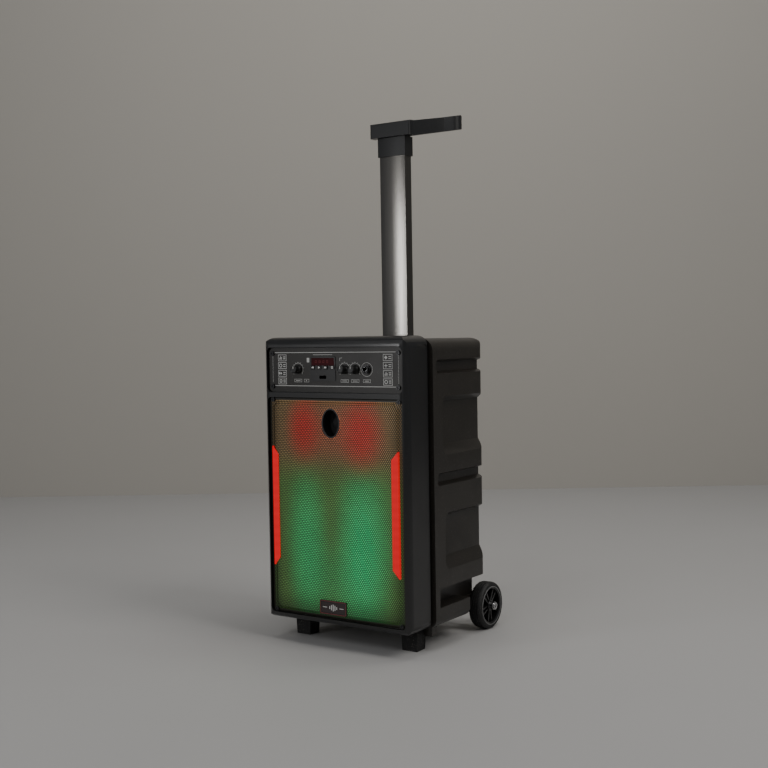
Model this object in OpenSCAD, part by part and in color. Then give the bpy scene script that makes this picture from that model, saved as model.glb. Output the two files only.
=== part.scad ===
// Trolley party speaker: moulded front frame and rear cabinet on two feet and two wheels,
// with a control panel, a bowed grille, an 8 inch woofer and a telescopic pull handle.
// Millimetres. +Z is up, the front faces -Y, and the floor is Z = 0.

/* [Front frame] */
// Width of the front frame
frame_w = 278; // [270:1:340]
// Depth of the front frame, from its lip to its rear edge
frame_d = 64; // [53:1:80]
// Radius of the frame's upper corners
frame_corner = 20; // [14:1:24]
// Radius of the frame's lower corners
frame_foot_corner = 14; // [8:1:14]
// Radius of the frame's front edges
frame_edge = 14; // [8:1:14]
// Radius of the frame's rear edges, beside the seam
frame_rear_edge = 4; // [2:0.5:5]
// Wall of the moulded front frame
frame_wall = 3.5; // [2.9:0.1:4.5]
// Border between the frame's sides and its two windows
frame_border = 8; // [7:0.5:11]
// Border between the grille's window and the frame's bottom
foot_border = 10; // [8:0.5:14]
// Border between the panel's window and the frame's top
crown_border = 16; // [14:0.5:22]
// Depth of the two windows behind the frame's lip
window_depth = 6; // [4:0.5:8]
// Thickness of the baffle that carries the loudspeakers
baffle_t = 6; // [5:0.5:9]
// Height of the frame's bottom edge above the floor
ground_gap = 36; // [30:1:44]

/* [Control panel] */
// Height of the control panel's window
panel_h = 72; // [68:1:88]
// Height of the bar between the panel's window and the grille's
panel_bar = 8; // [6:0.5:12]
// Thickness of the control panel plate
panel_t = 2.5; // [2:0.1:3.5]
// Clearance around plates that drop into a window
plate_gap = 0.5; // [0.3:0.1:0.8]
// Diameter of the three knobs
knob_dia = 14; // [11:0.1:17]
// Length of a knob
knob_len = 12.4; // [10:0.1:15]
// Diameter of the knob shafts
shaft_dia = 6; // [5:0.1:7.2]
// Width of the player module's face
module_w = 50; // [49:1:60]
// Height of the player module's face
module_h = 38.5; // [37:0.5:44]
// Width of one player button
button_w = 7; // [5:0.1:8.4]
// Height of one player button
button_h = 5.6; // [4.6:0.1:6]
// Travel of one player button
button_travel = 1; // [0.6:0.1:1.2]
// Bore of the microphone jack
jack_bore = 6.4; // [6.35:0.05:6.6]

/* [Grille and lights] */
// Height of the grille
grille_h = 350; // [340:1:420]
// Thickness of the grille's sheet steel
grille_t = 1.2; // [0.8:0.1:1.6]
// Width of the grille's flat rim
grille_rim = 8; // [6:0.5:10]
// Height of the pressed step inside the rim
grille_step = 3.5; // [2.5:0.5:5]
// Extra bow of the grille at its centre line
grille_bow = 6.5; // [4:0.5:9]
// Width of the oval tweeter opening
oval_w = 33; // [27:0.5:38]
// Height of the oval tweeter opening
oval_h = 45; // [38:0.5:48]
// Length of the outer edge of a light strip
strip_len = 194; // [150:1:240]
// Width of a light strip
strip_w = 12; // [9:0.5:13]
// Diameter of the woofer's frame
woofer_dia = 204; // [170:1:208]
// Depth of the woofer behind the front of the baffle
woofer_depth = 72; // [62:1:80]

/* [Rear cabinet] */
// How far the cabinet's sides stand out past the frame's
cab_proud = 5; // [0:0.5:6]
// Depth of the rear cabinet
cab_d = 158; // [146:1:200]
// Width of the open seam between the frame and the cabinet
seam_w = 4; // [3:0.5:6]
// Drop of the cabinet's top below the frame's top
cab_drop = 5; // [2:0.5:8]
// Wall of the moulded rear cabinet
cab_wall = 3; // [2.5:0.1:4]
// Radius of the cabinet's rear edges
cab_edge = 13; // [12:1:20]
// Depth of the recesses in the cabinet's sides
recess_d = 12; // [7:0.5:12]
// Depth of the recess in the cabinet's back
back_recess = 5; // [3:0.5:8]

/* [Wheels and feet] */
// Diameter of a wheel
wheel_dia = 78; // [65:1:94]
// Width of a wheel
wheel_w = 24; // [20:1:28]
// Outward overhang of a wheel past the cabinet's side
wheel_out = 3; // [0:0.5:6]
// Diameter of the axle
axle_dia = 8; // [6:0.1:9]
// Radial running clearance of a wheel on the axle
axle_gap = 0.06; // [0.03:0.01:0.1]
// Distance of the axle behind the cabinet's back
axle_back = 14; // [12:1:20]
// Width of a front foot
foot_w = 30; // [26:1:34]
// Depth of a front foot
foot_d = 27; // [24:1:34]

/* [Handle] */
// Width of the handle tube
tube_w = 50; // [41:1:58]
// Depth of the handle tube
tube_d = 22; // [18:0.5:24]
// How much the tube's broad faces crown
tube_crown = 1.5; // [0.5:0.5:3]
// Wall of the handle tube
tube_wall = 1.4; // [1:0.1:2]
// Height of the grip above the cabinet's top when it is pulled out
grip_out = 337; // [332:1:380]
// Travel of the handle from pulled out to pushed in
handle_travel = 298; // [240:1:298]
// Clearance between sliding handle parts
slide_gap = 0.4; // [0.3:0.05:0.6]
// Height of the collar below the grip
collar_h = 32; // [26:1:33]
// Width of the grip's head at the front
grip_head_w = 80; // [74:1:96]
// Width of the grip's rear bar
grip_bar_w = 164; // [150:1:200]
// Distance from the front of the grip to its back
grip_reach = 109; // [98:1:120]
// Thickness of the grip
grip_t = 24; // [18:1:26]
// Upward tilt of the grip towards the back
grip_tilt = 11; // [0:1:14]

/* [Hidden] */

$fn = 48;
cut = 1;                       // Overshoot of a cut past the face that it opens
arc_step = 10;                 // Degrees between the points of a rounded outline
hair = 0.1;                    // Gap between pieces that are glued or screwed together

// Depths are measured back from the grille's rim, which lies at face_y.
lip_y = -window_depth;
seam_y = frame_d - window_depth;
cab_y = seam_y + seam_w;
cab_back = cab_y + cab_d;
baffle_y = 12;
baffle_back = baffle_y + baffle_t;
tube_y = cab_y + 111.5;        // Front of the handle tube
guide_wall = 2;                // Wall of the guide round the handle tube
grip_y = tube_y - 6.5;
grip_back = grip_y + grip_reach;
knob_lift = 0.6;               // Gap between a knob and the panel
knob_front = -knob_lift - knob_len;
face_y = -(knob_front + grip_back) / 2;

// Heights above the floor
frame_h = foot_border + grille_h + panel_bar + panel_h + crown_border;
frame_z = ground_gap;
frame_top = frame_z + frame_h;
cab_top = frame_top - cab_drop;
grille_z = frame_z + foot_border;
grille_top = grille_z + grille_h;
panel_z = grille_top + panel_bar;
panel_mid = panel_z + panel_h / 2;

// Front frame
window_w = frame_w - 2 * frame_border;
window_corner = 8;
ledge_w = 13;                  // Width of the ledge that the grille and the panel rest on
rim_w = 10;                    // Width of the rims that face each other across the seam
rim_t = 7;
boss_r = 6;
boss_x = frame_w / 2 - rim_w - boss_r - 3.5;
boss_at = [
    for (s = [-1, 1]) each [
        [s * boss_x, frame_top - 34], [s * boss_x, frame_top - 190],
        [s * boss_x, frame_z + 96], [s * 60, frame_z + 18]
    ]
];
screw_r = 1.9;
screw_hole = 2;
head_r = 3.6;
head_h = 2.4;

// Control panel
control_z = panel_mid + 0.8;   // Height of the knobs and the jack
volume_x = -70.5;
echo_x = 21.5;
tone_x = 41.5;
jack_x = 63.5;
module_x = -20.5;
module_z = panel_mid + 1.8;
button_z = module_z + 2.1;
button_pitch = 12.8;
button_proud = 1.2;
button_gap = 0.3;
module_front = -1;
module_back = panel_t + 9;
display_w = 44;
display_h = 11.6;
display_z = module_z + 11.1;
usb_w = 13.2;
usb_h = 5.2;
usb_z = module_z - 13.4;
panel_screw_x = window_w / 2 - 9;
grille_screw_z = 4.2;          // Distance of the grille's screws from its top and bottom
panel_screw_z = 26.5;          // Height of the panel's screws above and below its middle
shaft_gap = 0.05;
bush_r = shaft_dia / 2 + shaft_gap + 0.8;
pot_r = 8;
shaft_front = -knob_lift - 9;
jack_body = 15;
jack_front = -6;
jack_back = panel_t + 24;
board_y = module_back + hair;
board_t = 1.6;

// Grille and lights
rise_w = window_w - 2 * grille_rim;     // Width of the raised part at its foot
step_run = 4;
flat_w = rise_w - 2 * step_run;         // Width of the raised part at the top of its step
bow_steps = 24;
oval_z = grille_top - 39;
tweeter_r = 20;
strip_z = grille_z + grille_h / 2 - 1;
strip_x = rise_w / 2 - 1 - strip_w;     // Inner edge of a light strip
strip_slant = 13;
strip_t = 2;
badge_w = 52;
badge_h = 23;
badge_z = grille_z + 21;
badge_t = 2.4;
woofer_z = grille_z + grille_h / 2 - 25;
flange_t = 4;
flange_in = 15;
surround_w = 13;
cone_depth = 36;
coil_len = 20;
coil_r = 20;
magnet_r = 45;
magnet_t = 22;

// Rear cabinet
side_x = frame_w / 2 + cab_proud;
rim_run = 10;                  // Plain rim between the seam and the side recesses
arch_x = side_x + wheel_out - wheel_w - 6;
arch_y = cab_y + 105;
bar_top = frame_z + 30;        // Top of the bar below the wheel slot
arch_top = bar_top + 30;
foot_x = frame_w / 2 - 34.5;
foot_y = 44;
skid_x = foot_x + foot_w / 2 + 2;
foot_screw_y = [foot_y + 6, cab_y + 5];
floor_z = frame_z + cab_wall;
back_in = cab_back - back_recess - cab_wall;    // Inner face of the cabinet's back
inlet_x = -66;
inlet_z = frame_z + 100;
inlet_w = 66;
inlet_h = 34;
inlet_y = cab_back - back_recess;
battery = [90, 70, 101];
battery_y = tube_y - slide_gap - guide_wall - 5 - battery[1];
strap_t = 1.5;
amp_x0 = 44;
amp_w = 76;
amp_z0 = frame_z + 160;
amp_h = 96;
amp_y = back_in - 12;

// Wheels
axle_y = cab_back + axle_back;
axle_z = wheel_dia / 2;
wheel_x = side_x + wheel_out - wheel_w;  // Inner face of a wheel
wheel_end = wheel_x + wheel_w;           // Outer face of a wheel
tyre_t = 7;
rim_r = wheel_dia / 2 - tyre_t;
hub_r = 9;
hub_end = wheel_end - 2;
lug_w = 27;
lug_x = wheel_x - 0.5 - lug_w;
lug_r = 12;
clip_t = 1.2;
cap_r = 6.6;
cap_len = 9;
spokes = 5;

// Handle
bezel_h = 3;
grip_z = cab_top + grip_out;
tube_top = grip_z + 6;
collar_t = 2.4;
collar_z = grip_z - collar_h;
tube_hidden = 70;              // Length of tube that stays in the cabinet
tube_bottom = cab_top - tube_hidden;
slider_h = 6;
guide_bottom = tube_bottom - handle_travel - slider_h - 6;
detents = [182, 305];          // Catch holes in the tube's back, measured down from its top
tube_mid = tube_y + tube_d / 2;
grip_bar_d = 26;
hand_w = 62;

// ---------------------------------------------------------------- helpers

function arc(cx, cy, r, a0, a1) =
    let (n = max(1, round(abs(a1 - a0) / arc_step)))
    [for (i = [0:n]) let (a = a0 + (a1 - a0) * i / n) [cx + r * cos(a), cy + r * sin(a)]];

// Outline of a rectangle, with one radius for its lower corners and one for its upper
function round_box(x0, y0, x1, y1, low, high) = concat(
    arc(x1 - low, y0 + low, low, -90, 0), arc(x1 - high, y1 - high, high, 0, 90),
    arc(x0 + high, y1 - high, high, 90, 180), arc(x0 + low, y0 + low, low, 180, 270));

function oval(w, h) = [for (a = [0:arc_step:359]) [w / 2 * cos(a), h / 2 * sin(a)]];

// Depth of the grille's front across its raised part
function bow(x) = -grille_step - grille_bow * (1 - pow(2 * x / flat_w, 2));

// Section of the handle tube, grown outwards by a clearance or a wall
function tube_outline(grow) =
    let (n = 12, a = tube_w / 2 + grow, b = tube_d / 2 + grow)
    concat([for (i = [0:n]) let (u = 2 * i / n - 1) [a * u, -b + tube_crown * u * u]],
           [for (i = [0:n]) let (u = 1 - 2 * i / n) [a * u, b - tube_crown * u * u]]);

module at_face() {
    translate([0, face_y, 0]) children();
}

// Extrudes an outline in X and Z from depth y0 back to depth y1
module slab_y(y0, y1) {
    translate([0, y1, 0]) rotate([90, 0, 0]) linear_extrude(y1 - y0) children();
}

// Extrudes an outline in Y and Z across X, from x0 to x1
module slab_x(x0, x1) {
    translate([x0, 0, 0]) rotate([90, 0, 90]) linear_extrude(x1 - x0) children();
}

// Extrudes an outline in X and Y upwards, from z0 to z1
module slab_z(z0, z1) {
    translate([0, 0, z0]) linear_extrude(z1 - z0) children();
}

module rod_x(y, z, r, x0, x1) {
    translate([x0, y, z]) rotate([0, 90, 0]) cylinder(r = r, h = x1 - x0);
}

module rod_y(x, z, r, y0, y1) {
    translate([x, y0, z]) rotate([-90, 0, 0]) cylinder(r = r, h = y1 - y0);
}

module rod_z(x, y, r, z0, z1) {
    translate([x, y, z0]) cylinder(r = r, h = z1 - z0);
}

module block(x0, x1, y0, y1, z0, z1) {
    translate([x0, y0, z0]) cube([x1 - x0, y1 - y0, z1 - z0]);
}

module both_sides() {
    children();
    mirror([1, 0, 0]) children();
}

// Turns a shape made round the Z axis so that its Z becomes depth, at x and z
module turned_y(x, z, y = 0) {
    translate([x, y, z]) rotate([-90, 0, 0]) children();
}

// A cross-head screw on the Z axis: its head rises from 0 and its shank goes down
module screw(len) {
    difference() {
        union() {
            cylinder(r = head_r, h = head_h);
            translate([0, 0, -len]) cylinder(r = screw_r, h = len + head_h / 2);
        }
        for (a = [0, 90]) rotate([0, 0, a])
            block(-head_r * 0.6, head_r * 0.6, -0.5, 0.5, head_h - 1.2, head_h + cut);
    }
}

// The same screw facing the front, its head seated at depth y
module front_screw(x, z, y, len) {
    translate([x, y, z]) rotate([90, 0, 0]) screw(len);
}

// ---------------------------------------------------------------- front frame

module frame_shape() {
    intersection() {
        slab_y(lip_y, seam_y)
            polygon(round_box(-frame_w / 2, frame_z, frame_w / 2, frame_top,
                              frame_foot_corner, frame_corner));
        slab_z(frame_z - cut, frame_top + cut)
            polygon(round_box(-frame_w / 2, lip_y, frame_w / 2, seam_y, frame_edge, frame_rear_edge));
        slab_x(-frame_w, frame_w)
            polygon(concat(
                arc(lip_y + frame_edge, frame_top - frame_edge, frame_edge, 180, 90),
                arc(seam_y - frame_rear_edge, frame_top - frame_rear_edge, frame_rear_edge, 90, 0),
                arc(seam_y - frame_rear_edge, frame_z + frame_rear_edge, frame_rear_edge, 0, -90),
                arc(lip_y + frame_edge, frame_z + frame_edge, frame_edge, -90, -180)));
    }
}

// A rounded window between depths y0 and y1, made smaller all round by inset
module window(z, h, inset, y0, y1) {
    r = max(window_corner - inset, 2);
    slab_y(y0, y1) polygon(round_box(-window_w / 2 + inset, z + inset, window_w / 2 - inset,
                                     z + h - inset, r, r));
}

module front_frame() {
    color("#1c1c1e") at_face() difference() {
        union() {
            difference() {
                frame_shape();
                slab_y(baffle_back, seam_y - rim_t) polygon(round_box(
                    -frame_w / 2 + frame_wall, frame_z + frame_wall,
                    frame_w / 2 - frame_wall, frame_top - frame_wall,
                    frame_foot_corner - frame_wall, frame_corner - frame_wall));
                block(-frame_w / 2 + rim_w, frame_w / 2 - rim_w, baffle_back,
                      seam_y + cut, frame_z + rim_w, frame_top - rim_w);
            }
            for (b = boss_at) rod_y(b[0], b[1], boss_r, baffle_back - cut, cab_y - hair);
        }
        window(grille_z, grille_h, 0, lip_y - cut, grille_t);
        window(grille_z, grille_h, ledge_w, 0, baffle_y);
        window(panel_z, panel_h, 0, lip_y - cut, panel_t);
        window(panel_z, panel_h, ledge_w, 0, baffle_back + cut);
        rod_y(0, woofer_z, woofer_dia / 2 - flange_in + 1, baffle_y - cut, baffle_back + cut);
        rod_y(0, oval_z, tweeter_r + hair, baffle_y - cut, baffle_back + cut);
        for (b = boss_at) rod_y(b[0], b[1], screw_hole, baffle_back + 4, seam_y + seam_w + cut);
        for (s = [-1, 1]) {
            for (z = [grille_z + grille_screw_z, grille_top - grille_screw_z])
                rod_y(s * panel_screw_x, z, screw_hole, 0, baffle_y - 1);
            for (z = [-1, 1])
                rod_y(s * panel_screw_x, panel_mid + z * panel_screw_z, screw_hole, 0, baffle_y - 1);
            rod_z(s * foot_x, foot_screw_y[0], screw_hole, frame_z - cut, frame_z + rim_w + cut);
        }
        woofer_holes(baffle_y - cut, baffle_back - 1);
    }
}

module seam_gasket() {
    color("#0e0e0e") at_face() difference() {
        slab_y(seam_y + hair, cab_y - hair)
            polygon(round_box(-frame_w / 2 + 5, frame_z + 5, frame_w / 2 - 5, frame_top - 8, 6, 14));
        slab_y(seam_y - cut, cab_y + cut)
            polygon(round_box(-frame_w / 2 + rim_w - 1, frame_z + rim_w - 1, frame_w / 2 - rim_w + 1,
                              frame_top - 12, 4, 10));
    }
}

// ---------------------------------------------------------------- rear cabinet

// The cabinet's outer shape from depth y0, grown outwards or, for the cavity, inwards
module cabinet_shape(grow, y0) {
    r = cab_edge + grow;
    yb = cab_back + grow;
    zt = cab_top + grow;
    zb = frame_z - grow;
    x = side_x + grow;
    intersection() {
        slab_x(-side_x - 50, side_x + 50)
            polygon(concat([[y0, zb], [y0, zt]], arc(yb - r, zt - r, r, 90, 0),
                           arc(yb - r, zb + r, r, 0, -90)));
        slab_y(y0, yb) polygon(round_box(-x, zb, x, zt, frame_foot_corner, frame_corner));
        slab_z(frame_z - 50, frame_top + 50)
            polygon(concat([[-x, y0], [x, y0]], arc(x - r, yb - r, r, 0, 90),
                           arc(-x + r, yb - r, r, 90, 180)));
    }
}

// A recess in the right side from depth y0 to the back. Its walls slope over the runs low
// and high, its front corners have radius r, and grow thickens it towards the cavity.
module side_recess(y0, z0, z1, low, high, r, grow) {
    d = recess_d + grow;
    intersection() {
        slab_y(y0 - grow, cab_back + cut)
            polygon([[side_x + cut, z0 - grow], [side_x + cut, z1 + grow], [side_x, z1 + grow],
                     [side_x - d, z1 + grow - high], [side_x - d, z0 - grow + low],
                     [side_x, z0 - grow]]);
        slab_x(side_x - d - cut, side_x + 2 * cut)
            polygon(round_box(y0 - grow, z0 - grow, cab_back + 3 * r, z1 + grow, r + grow, r + grow));
    }
}

module side_recesses(grow) {
    narrow = cab_y + rim_run;
    both_sides() {
        side_recess(narrow, grille_top + 36, grille_top + 58, 4, 4, 7, grow);
        side_recess(cab_y + 27, grille_top - 92, grille_top, 17, 8, 14, grow);
        side_recess(narrow, grille_top - 139, grille_top - 119, 4, 4, 7, grow);
        side_recess(cab_y + 31, bar_top + 57, grille_top - 183, 20, 6, 14, grow);
    }
}

// The wheel arches, with the slot in front of each
module wheel_arches(grow) {
    both_sides() {
        block(arch_x - grow, side_x + cut, cab_y + rim_run + 3 - grow, cab_back + 2 * cut,
              bar_top - grow, arch_top + grow);
        block(arch_x - grow, side_x + cut, arch_y - grow, cab_back + 2 * cut,
              frame_z - 2 * cut, arch_top + grow);
    }
}

module back_panel(grow) {
    slab_y(cab_back - back_recess - grow, cab_back + cut)
        polygon(round_box(-side_x + 38 - grow, frame_z + 74 - grow, side_x - 38 + grow,
                          cab_top - 34 + grow, 10, 10));
}

module cabinet_cavity() {
    difference() {
        cabinet_shape(-cab_wall, cab_y - cut);
        side_recesses(cab_wall);
        wheel_arches(cab_wall);
        back_panel(cab_wall);
        for (b = boss_at) rod_y(b[0], b[1], boss_r, cab_y - 2 * cut, cab_back + cut);
        both_sides() block(lug_x - 2, side_x, cab_back - 40, cab_back + cut, 0, arch_top + cab_wall);
        // Rim behind the seam
        difference() {
            block(-side_x, side_x, cab_y - 2 * cut, cab_y + rim_t, 0, frame_top);
            block(-frame_w / 2 + rim_w, frame_w / 2 - rim_w, cab_y - 3 * cut, cab_y + rim_t + cut,
                  frame_z + rim_w, frame_top - rim_w - cab_drop);
        }
        // Saddles for the guide tube, and posts for the amplifier board
        for (z = [guide_bottom + 30, cab_top - 80])
            block(-18, 18, tube_y + tube_d + slide_gap + guide_wall + hair, cab_back, z, z + 8);
        for (x = [6, amp_w - 6]) for (z = [6, amp_h - 6])
            rod_y(amp_x0 + x, amp_z0 + z, 3, amp_y + board_t, cab_back);
    }
}

module axle_lugs() {
    both_sides() {
        block(lug_x, lug_x + lug_w, cab_back - 30, axle_y, frame_z, frame_z + 24);
        rod_x(axle_y, axle_z, lug_r, lug_x, lug_x + lug_w);
    }
}

module rear_cabinet() {
    guide_hole = guide_wall + slide_gap + hair;
    color("#262320") at_face() difference() {
        union() {
            difference() {
                cabinet_shape(0, cab_y);
                side_recesses(0);
                wheel_arches(0);
                back_panel(0);
                cabinet_cavity();
            }
            axle_lugs();
            both_sides() block(skid_x, side_x - 8, cab_y, cab_y + 14, frame_z - 13, frame_z + 4);
        }
        rod_x(axle_y, axle_z, axle_dia / 2 + hair, -side_x, side_x);
        translate([0, tube_mid, 0]) slab_z(cab_top - 20, cab_top + cut)
            polygon(tube_outline(guide_hole));
        for (b = boss_at) {
            rod_y(b[0], b[1], screw_hole + 0.2, cab_y - cut, cab_back + cut);
            rod_y(b[0], b[1], head_r + 0.4, cab_y + 8, cab_back + cut);
        }
        for (s = [-1, 1])
            rod_z(s * foot_x, foot_screw_y[1], screw_hole, frame_z - cut, frame_z + rim_w + cut);
        block(inlet_x - inlet_w / 2 + 4, inlet_x + inlet_w / 2 - 4, inlet_y - 20, inlet_y + cut,
              inlet_z - inlet_h / 2 + 4, inlet_z + inlet_h / 2 - 4);
    }
}

module cabinet_screws() {
    color("#8a8a8c") at_face() for (b = boss_at)
        translate([b[0], cab_y + 8, b[1]]) rotate([-90, 0, 0]) screw(34);
}

// ---------------------------------------------------------------- grille and lights

// Outline in X and Y of the grille's raised part, moved back by dy, narrowed by inset
// and closed along depth back
function raised(dy, inset, back) = concat(
    [[-rise_w / 2 + inset, back], [-rise_w / 2 + inset, dy]],
    [for (i = [0:bow_steps]) let (x = flat_w * (i / bow_steps - 0.5))
        [x * (1 - 2 * inset / flat_w), bow(x) + dy]],
    [[rise_w / 2 - inset, dy], [rise_w / 2 - inset, back]]);

module grille() {
    low = grille_z + grille_rim;
    high = grille_top - grille_rim;
    color("#3a3a3a") at_face() difference() {
        union() {
            window(grille_z, grille_h, plate_gap, 0, grille_t);
            slab_z(low, high) polygon(raised(0, 0, grille_t));
        }
        slab_z(low + grille_t, high - grille_t)
            polygon(raised(grille_t, grille_t, grille_t + cut));
        slab_y(-20, grille_t + cut) translate([0, oval_z]) polygon(oval(oval_w, oval_h));
        for (s = [-1, 1]) for (z = [grille_z + grille_screw_z, grille_top - grille_screw_z])
            rod_y(s * panel_screw_x, z, screw_hole, -cut, grille_t + cut);
    }
}

module grille_cloth() {
    x = flat_w / 2 - grille_t - 1;
    near = grille_t + 0.4;
    color("#556b3a") at_face() difference() {
        slab_z(grille_z + grille_rim + 3, grille_top - grille_rim - 3) polygon(concat(
            [for (i = [0:bow_steps]) let (u = x * (2 * i / bow_steps - 1)) [u, bow(u) + near]],
            [for (i = [0:bow_steps]) let (u = x * (1 - 2 * i / bow_steps)) [u, bow(u) + near + 0.8]]));
        slab_y(-20, grille_t + cut) translate([0, oval_z]) polygon(oval(oval_w + 1, oval_h + 1));
    }
}

module grille_screws() {
    color("#9a9a9c") at_face() for (s = [-1, 1]) for (z = [grille_z + grille_screw_z, grille_top - grille_screw_z])
        front_screw(s * panel_screw_x, z, -hair, 9);
}

module badge_plate() {
    y = bow(0);
    color("#2a0f12") at_face() difference() {
        slab_y(y - badge_t, y - hair) polygon(round_box(
            -badge_w / 2, badge_z - badge_h / 2, badge_w / 2, badge_z + badge_h / 2, 3, 3));
        slab_y(y - badge_t - cut, y - badge_t + 0.6) polygon(round_box(
            -badge_w / 2 + 3, badge_z - badge_h / 2 + 3, badge_w / 2 - 3, badge_z + badge_h / 2 - 3, 1, 1));
    }
}

// The right-hand light strip: a long plate with slanted ends that lies on the grille
module light_strip() {
    z0 = strip_z - strip_len / 2;
    z1 = strip_z + strip_len / 2;
    x1 = strip_x + strip_w;
    color("#c8102e") at_face() intersection() {
        slab_y(-30, 10) polygon([[x1, z0], [x1, z1], [strip_x, z1 - strip_slant],
                                 [strip_x, z0 + strip_slant]]);
        slab_z(z0 - cut, z1 + cut) polygon([
            [strip_x, bow(strip_x) - hair], [flat_w / 2, bow(flat_w / 2) - hair],
            [x1, bow(flat_w / 2) - 1.5 * hair + (x1 - flat_w / 2) * grille_step / step_run],
            [x1, bow(flat_w / 2) - strip_t - 0.6], [strip_x, bow(strip_x) - strip_t]]);
    }
}

module light_strip_right() {
    light_strip();
}

module light_strip_left() {
    mirror([1, 0, 0]) light_strip();
}

// A ring board round the woofer and one bar board behind each light strip
module led_boards() {
    color("#e8e8e0") at_face() {
        difference() {
            rod_y(0, woofer_z, woofer_dia / 2 + 8, baffle_y - 2 * board_t, baffle_y - hair);
            rod_y(0, woofer_z, woofer_dia / 2 + 1, baffle_y - 3 * board_t, baffle_y + cut);
        }
        for (s = [-1, 1])
            block(s * (strip_x + 4) - 3, s * (strip_x + 4) + 3, baffle_y - board_t, baffle_y - hair,
                  strip_z - strip_len / 2 + 10, strip_z + strip_len / 2 - 10);
    }
}

// ---------------------------------------------------------------- loudspeakers

module tweeter_bezel() {
    lip = bow(0);
    wall = 1.6;
    color("#101010") at_face() translate([0, 0, oval_z]) difference() {
        union() {
            slab_y(lip - 0.8, lip - hair) polygon(oval(oval_w + 2, oval_h + 2));
            slab_y(lip - 0.5, baffle_y - 3 - hair)
                polygon(oval(oval_w - 2 * hair, oval_h - 2 * hair));
        }
        slab_y(lip - 2, baffle_y) polygon(oval(oval_w - 2 * wall, oval_h - 2 * wall));
    }
}

module tweeter() {
    color("#202022") at_face() turned_y(0, oval_z, baffle_y) {
        translate([0, 0, -3]) cylinder(r = tweeter_r + 4.5, h = 3 - hair);
        translate([0, 0, -3]) cylinder(r = tweeter_r - 0.5, h = 28);
        intersection() {
            translate([0, 0, 8]) sphere(r = 15);
            translate([0, 0, -8]) cylinder(r = 14, h = 10);
        }
    }
}

module woofer_holes(y0, y1) {
    for (a = [22.5:45:359])
        rod_y((woofer_dia / 2 - 6) * cos(a), woofer_z + (woofer_dia / 2 - 6) * sin(a), screw_hole, y0, y1);
}

module woofer_basket() {
    r = woofer_dia / 2;
    in_r = r - flange_in;
    back = woofer_depth - magnet_t;
    color("#2b2b2e") at_face() difference() {
        turned_y(0, woofer_z, baffle_y) rotate_extrude($fn = 72) polygon([
            [in_r - 2, -flange_t], [r, -flange_t], [r, -hair], [in_r, -hair],
            [in_r, 6], [magnet_r + 6, back - 8], [magnet_r - 4, back - hair],
            [coil_r + 4, back - hair], [coil_r + 4, back - 2], [magnet_r - 6, back - 2],
            [magnet_r + 3, back - 9], [in_r - 2, 4]]);
        woofer_holes(baffle_y - flange_t - cut, baffle_y + cut);
        for (a = [0:60:359]) turned_y(0, woofer_z, baffle_y) rotate([0, 0, a])
            block(magnet_r + 8, in_r - 6, -11, 11, -cut, back);
    }
}

module woofer_surround() {
    out_r = woofer_dia / 2 - flange_in - 2;
    mid_r = out_r - surround_w / 2;
    roll = surround_w / 2 - 1.5;
    color("#141414") at_face() turned_y(0, woofer_z, baffle_y - flange_t) rotate_extrude($fn = 72)
        polygon(concat([[out_r + 7, -hair], [out_r + 7, -1.2]], arc(mid_r, -1.2, roll, 0, -180),
                       [[mid_r - roll - 2, -1.2], [mid_r - roll - 2, -hair]],
                       arc(mid_r, -hair, roll - 1, -180, 0)));
}

module woofer_cone() {
    r = woofer_dia / 2 - flange_in - 2 - surround_w;
    color("#2e2e30") at_face() turned_y(0, woofer_z, baffle_y - flange_t) rotate_extrude($fn = 72)
        polygon([[r + 1, 0], [r + 1, 1], [coil_r + 1, cone_depth], [coil_r, cone_depth + coil_len],
                 [coil_r - 1, cone_depth + coil_len], [coil_r - 1, cone_depth],
                 [0, cone_depth - 7], [0, cone_depth - 8], [12, cone_depth - 5.5],
                 [coil_r, cone_depth - 1], [r - 1, 0]]);
}

module woofer_magnet() {
    y = baffle_y + woofer_depth - magnet_t;
    color("#4a4a4c") at_face() difference() {
        union() {
            rod_y(0, woofer_z, magnet_r, y, y + magnet_t - 5);
            rod_y(0, woofer_z, magnet_r - 3, y, y + magnet_t);
        }
        difference() {
            rod_y(0, woofer_z, coil_r + 2, y - cut, y + magnet_t - 6);
            rod_y(0, woofer_z, coil_r - 3, y, y + magnet_t);
        }
    }
}

module woofer_screws() {
    color("#5a5a5c") at_face() for (a = [22.5:45:359])
        front_screw((woofer_dia / 2 - 6) * cos(a), woofer_z + (woofer_dia / 2 - 6) * sin(a),
                    baffle_y - flange_t - hair, 8);
}

// ---------------------------------------------------------------- control panel

module control_panel() {
    color("#35332f") at_face() difference() {
        window(panel_z, panel_h, plate_gap, 0, panel_t);
        for (x = [volume_x, echo_x, tone_x])
            rod_y(x, control_z, bush_r + hair, -cut, panel_t + cut);
        rod_y(jack_x, control_z, 4.6 + hair, -cut, panel_t + cut);
        block(module_x - module_w / 2 + 2 - hair, module_x + module_w / 2 - 2 + hair, -cut,
              panel_t + cut, module_z - module_h / 2 + 2 - hair, module_z + module_h / 2 - 2 + hair);
        for (s = [-1, 1]) for (z = [-1, 1])
            rod_y(s * panel_screw_x, panel_mid + z * panel_screw_z, screw_hole, -cut, panel_t + cut);
    }
}

module panel_screws() {
    color("#9a9a9c") at_face() for (s = [-1, 1]) for (z = [-1, 1])
        front_screw(s * panel_screw_x, panel_mid + z * panel_screw_z, -hair, 9);
}

function button_x(i) = module_x + (i - 1.5) * button_pitch;

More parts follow.
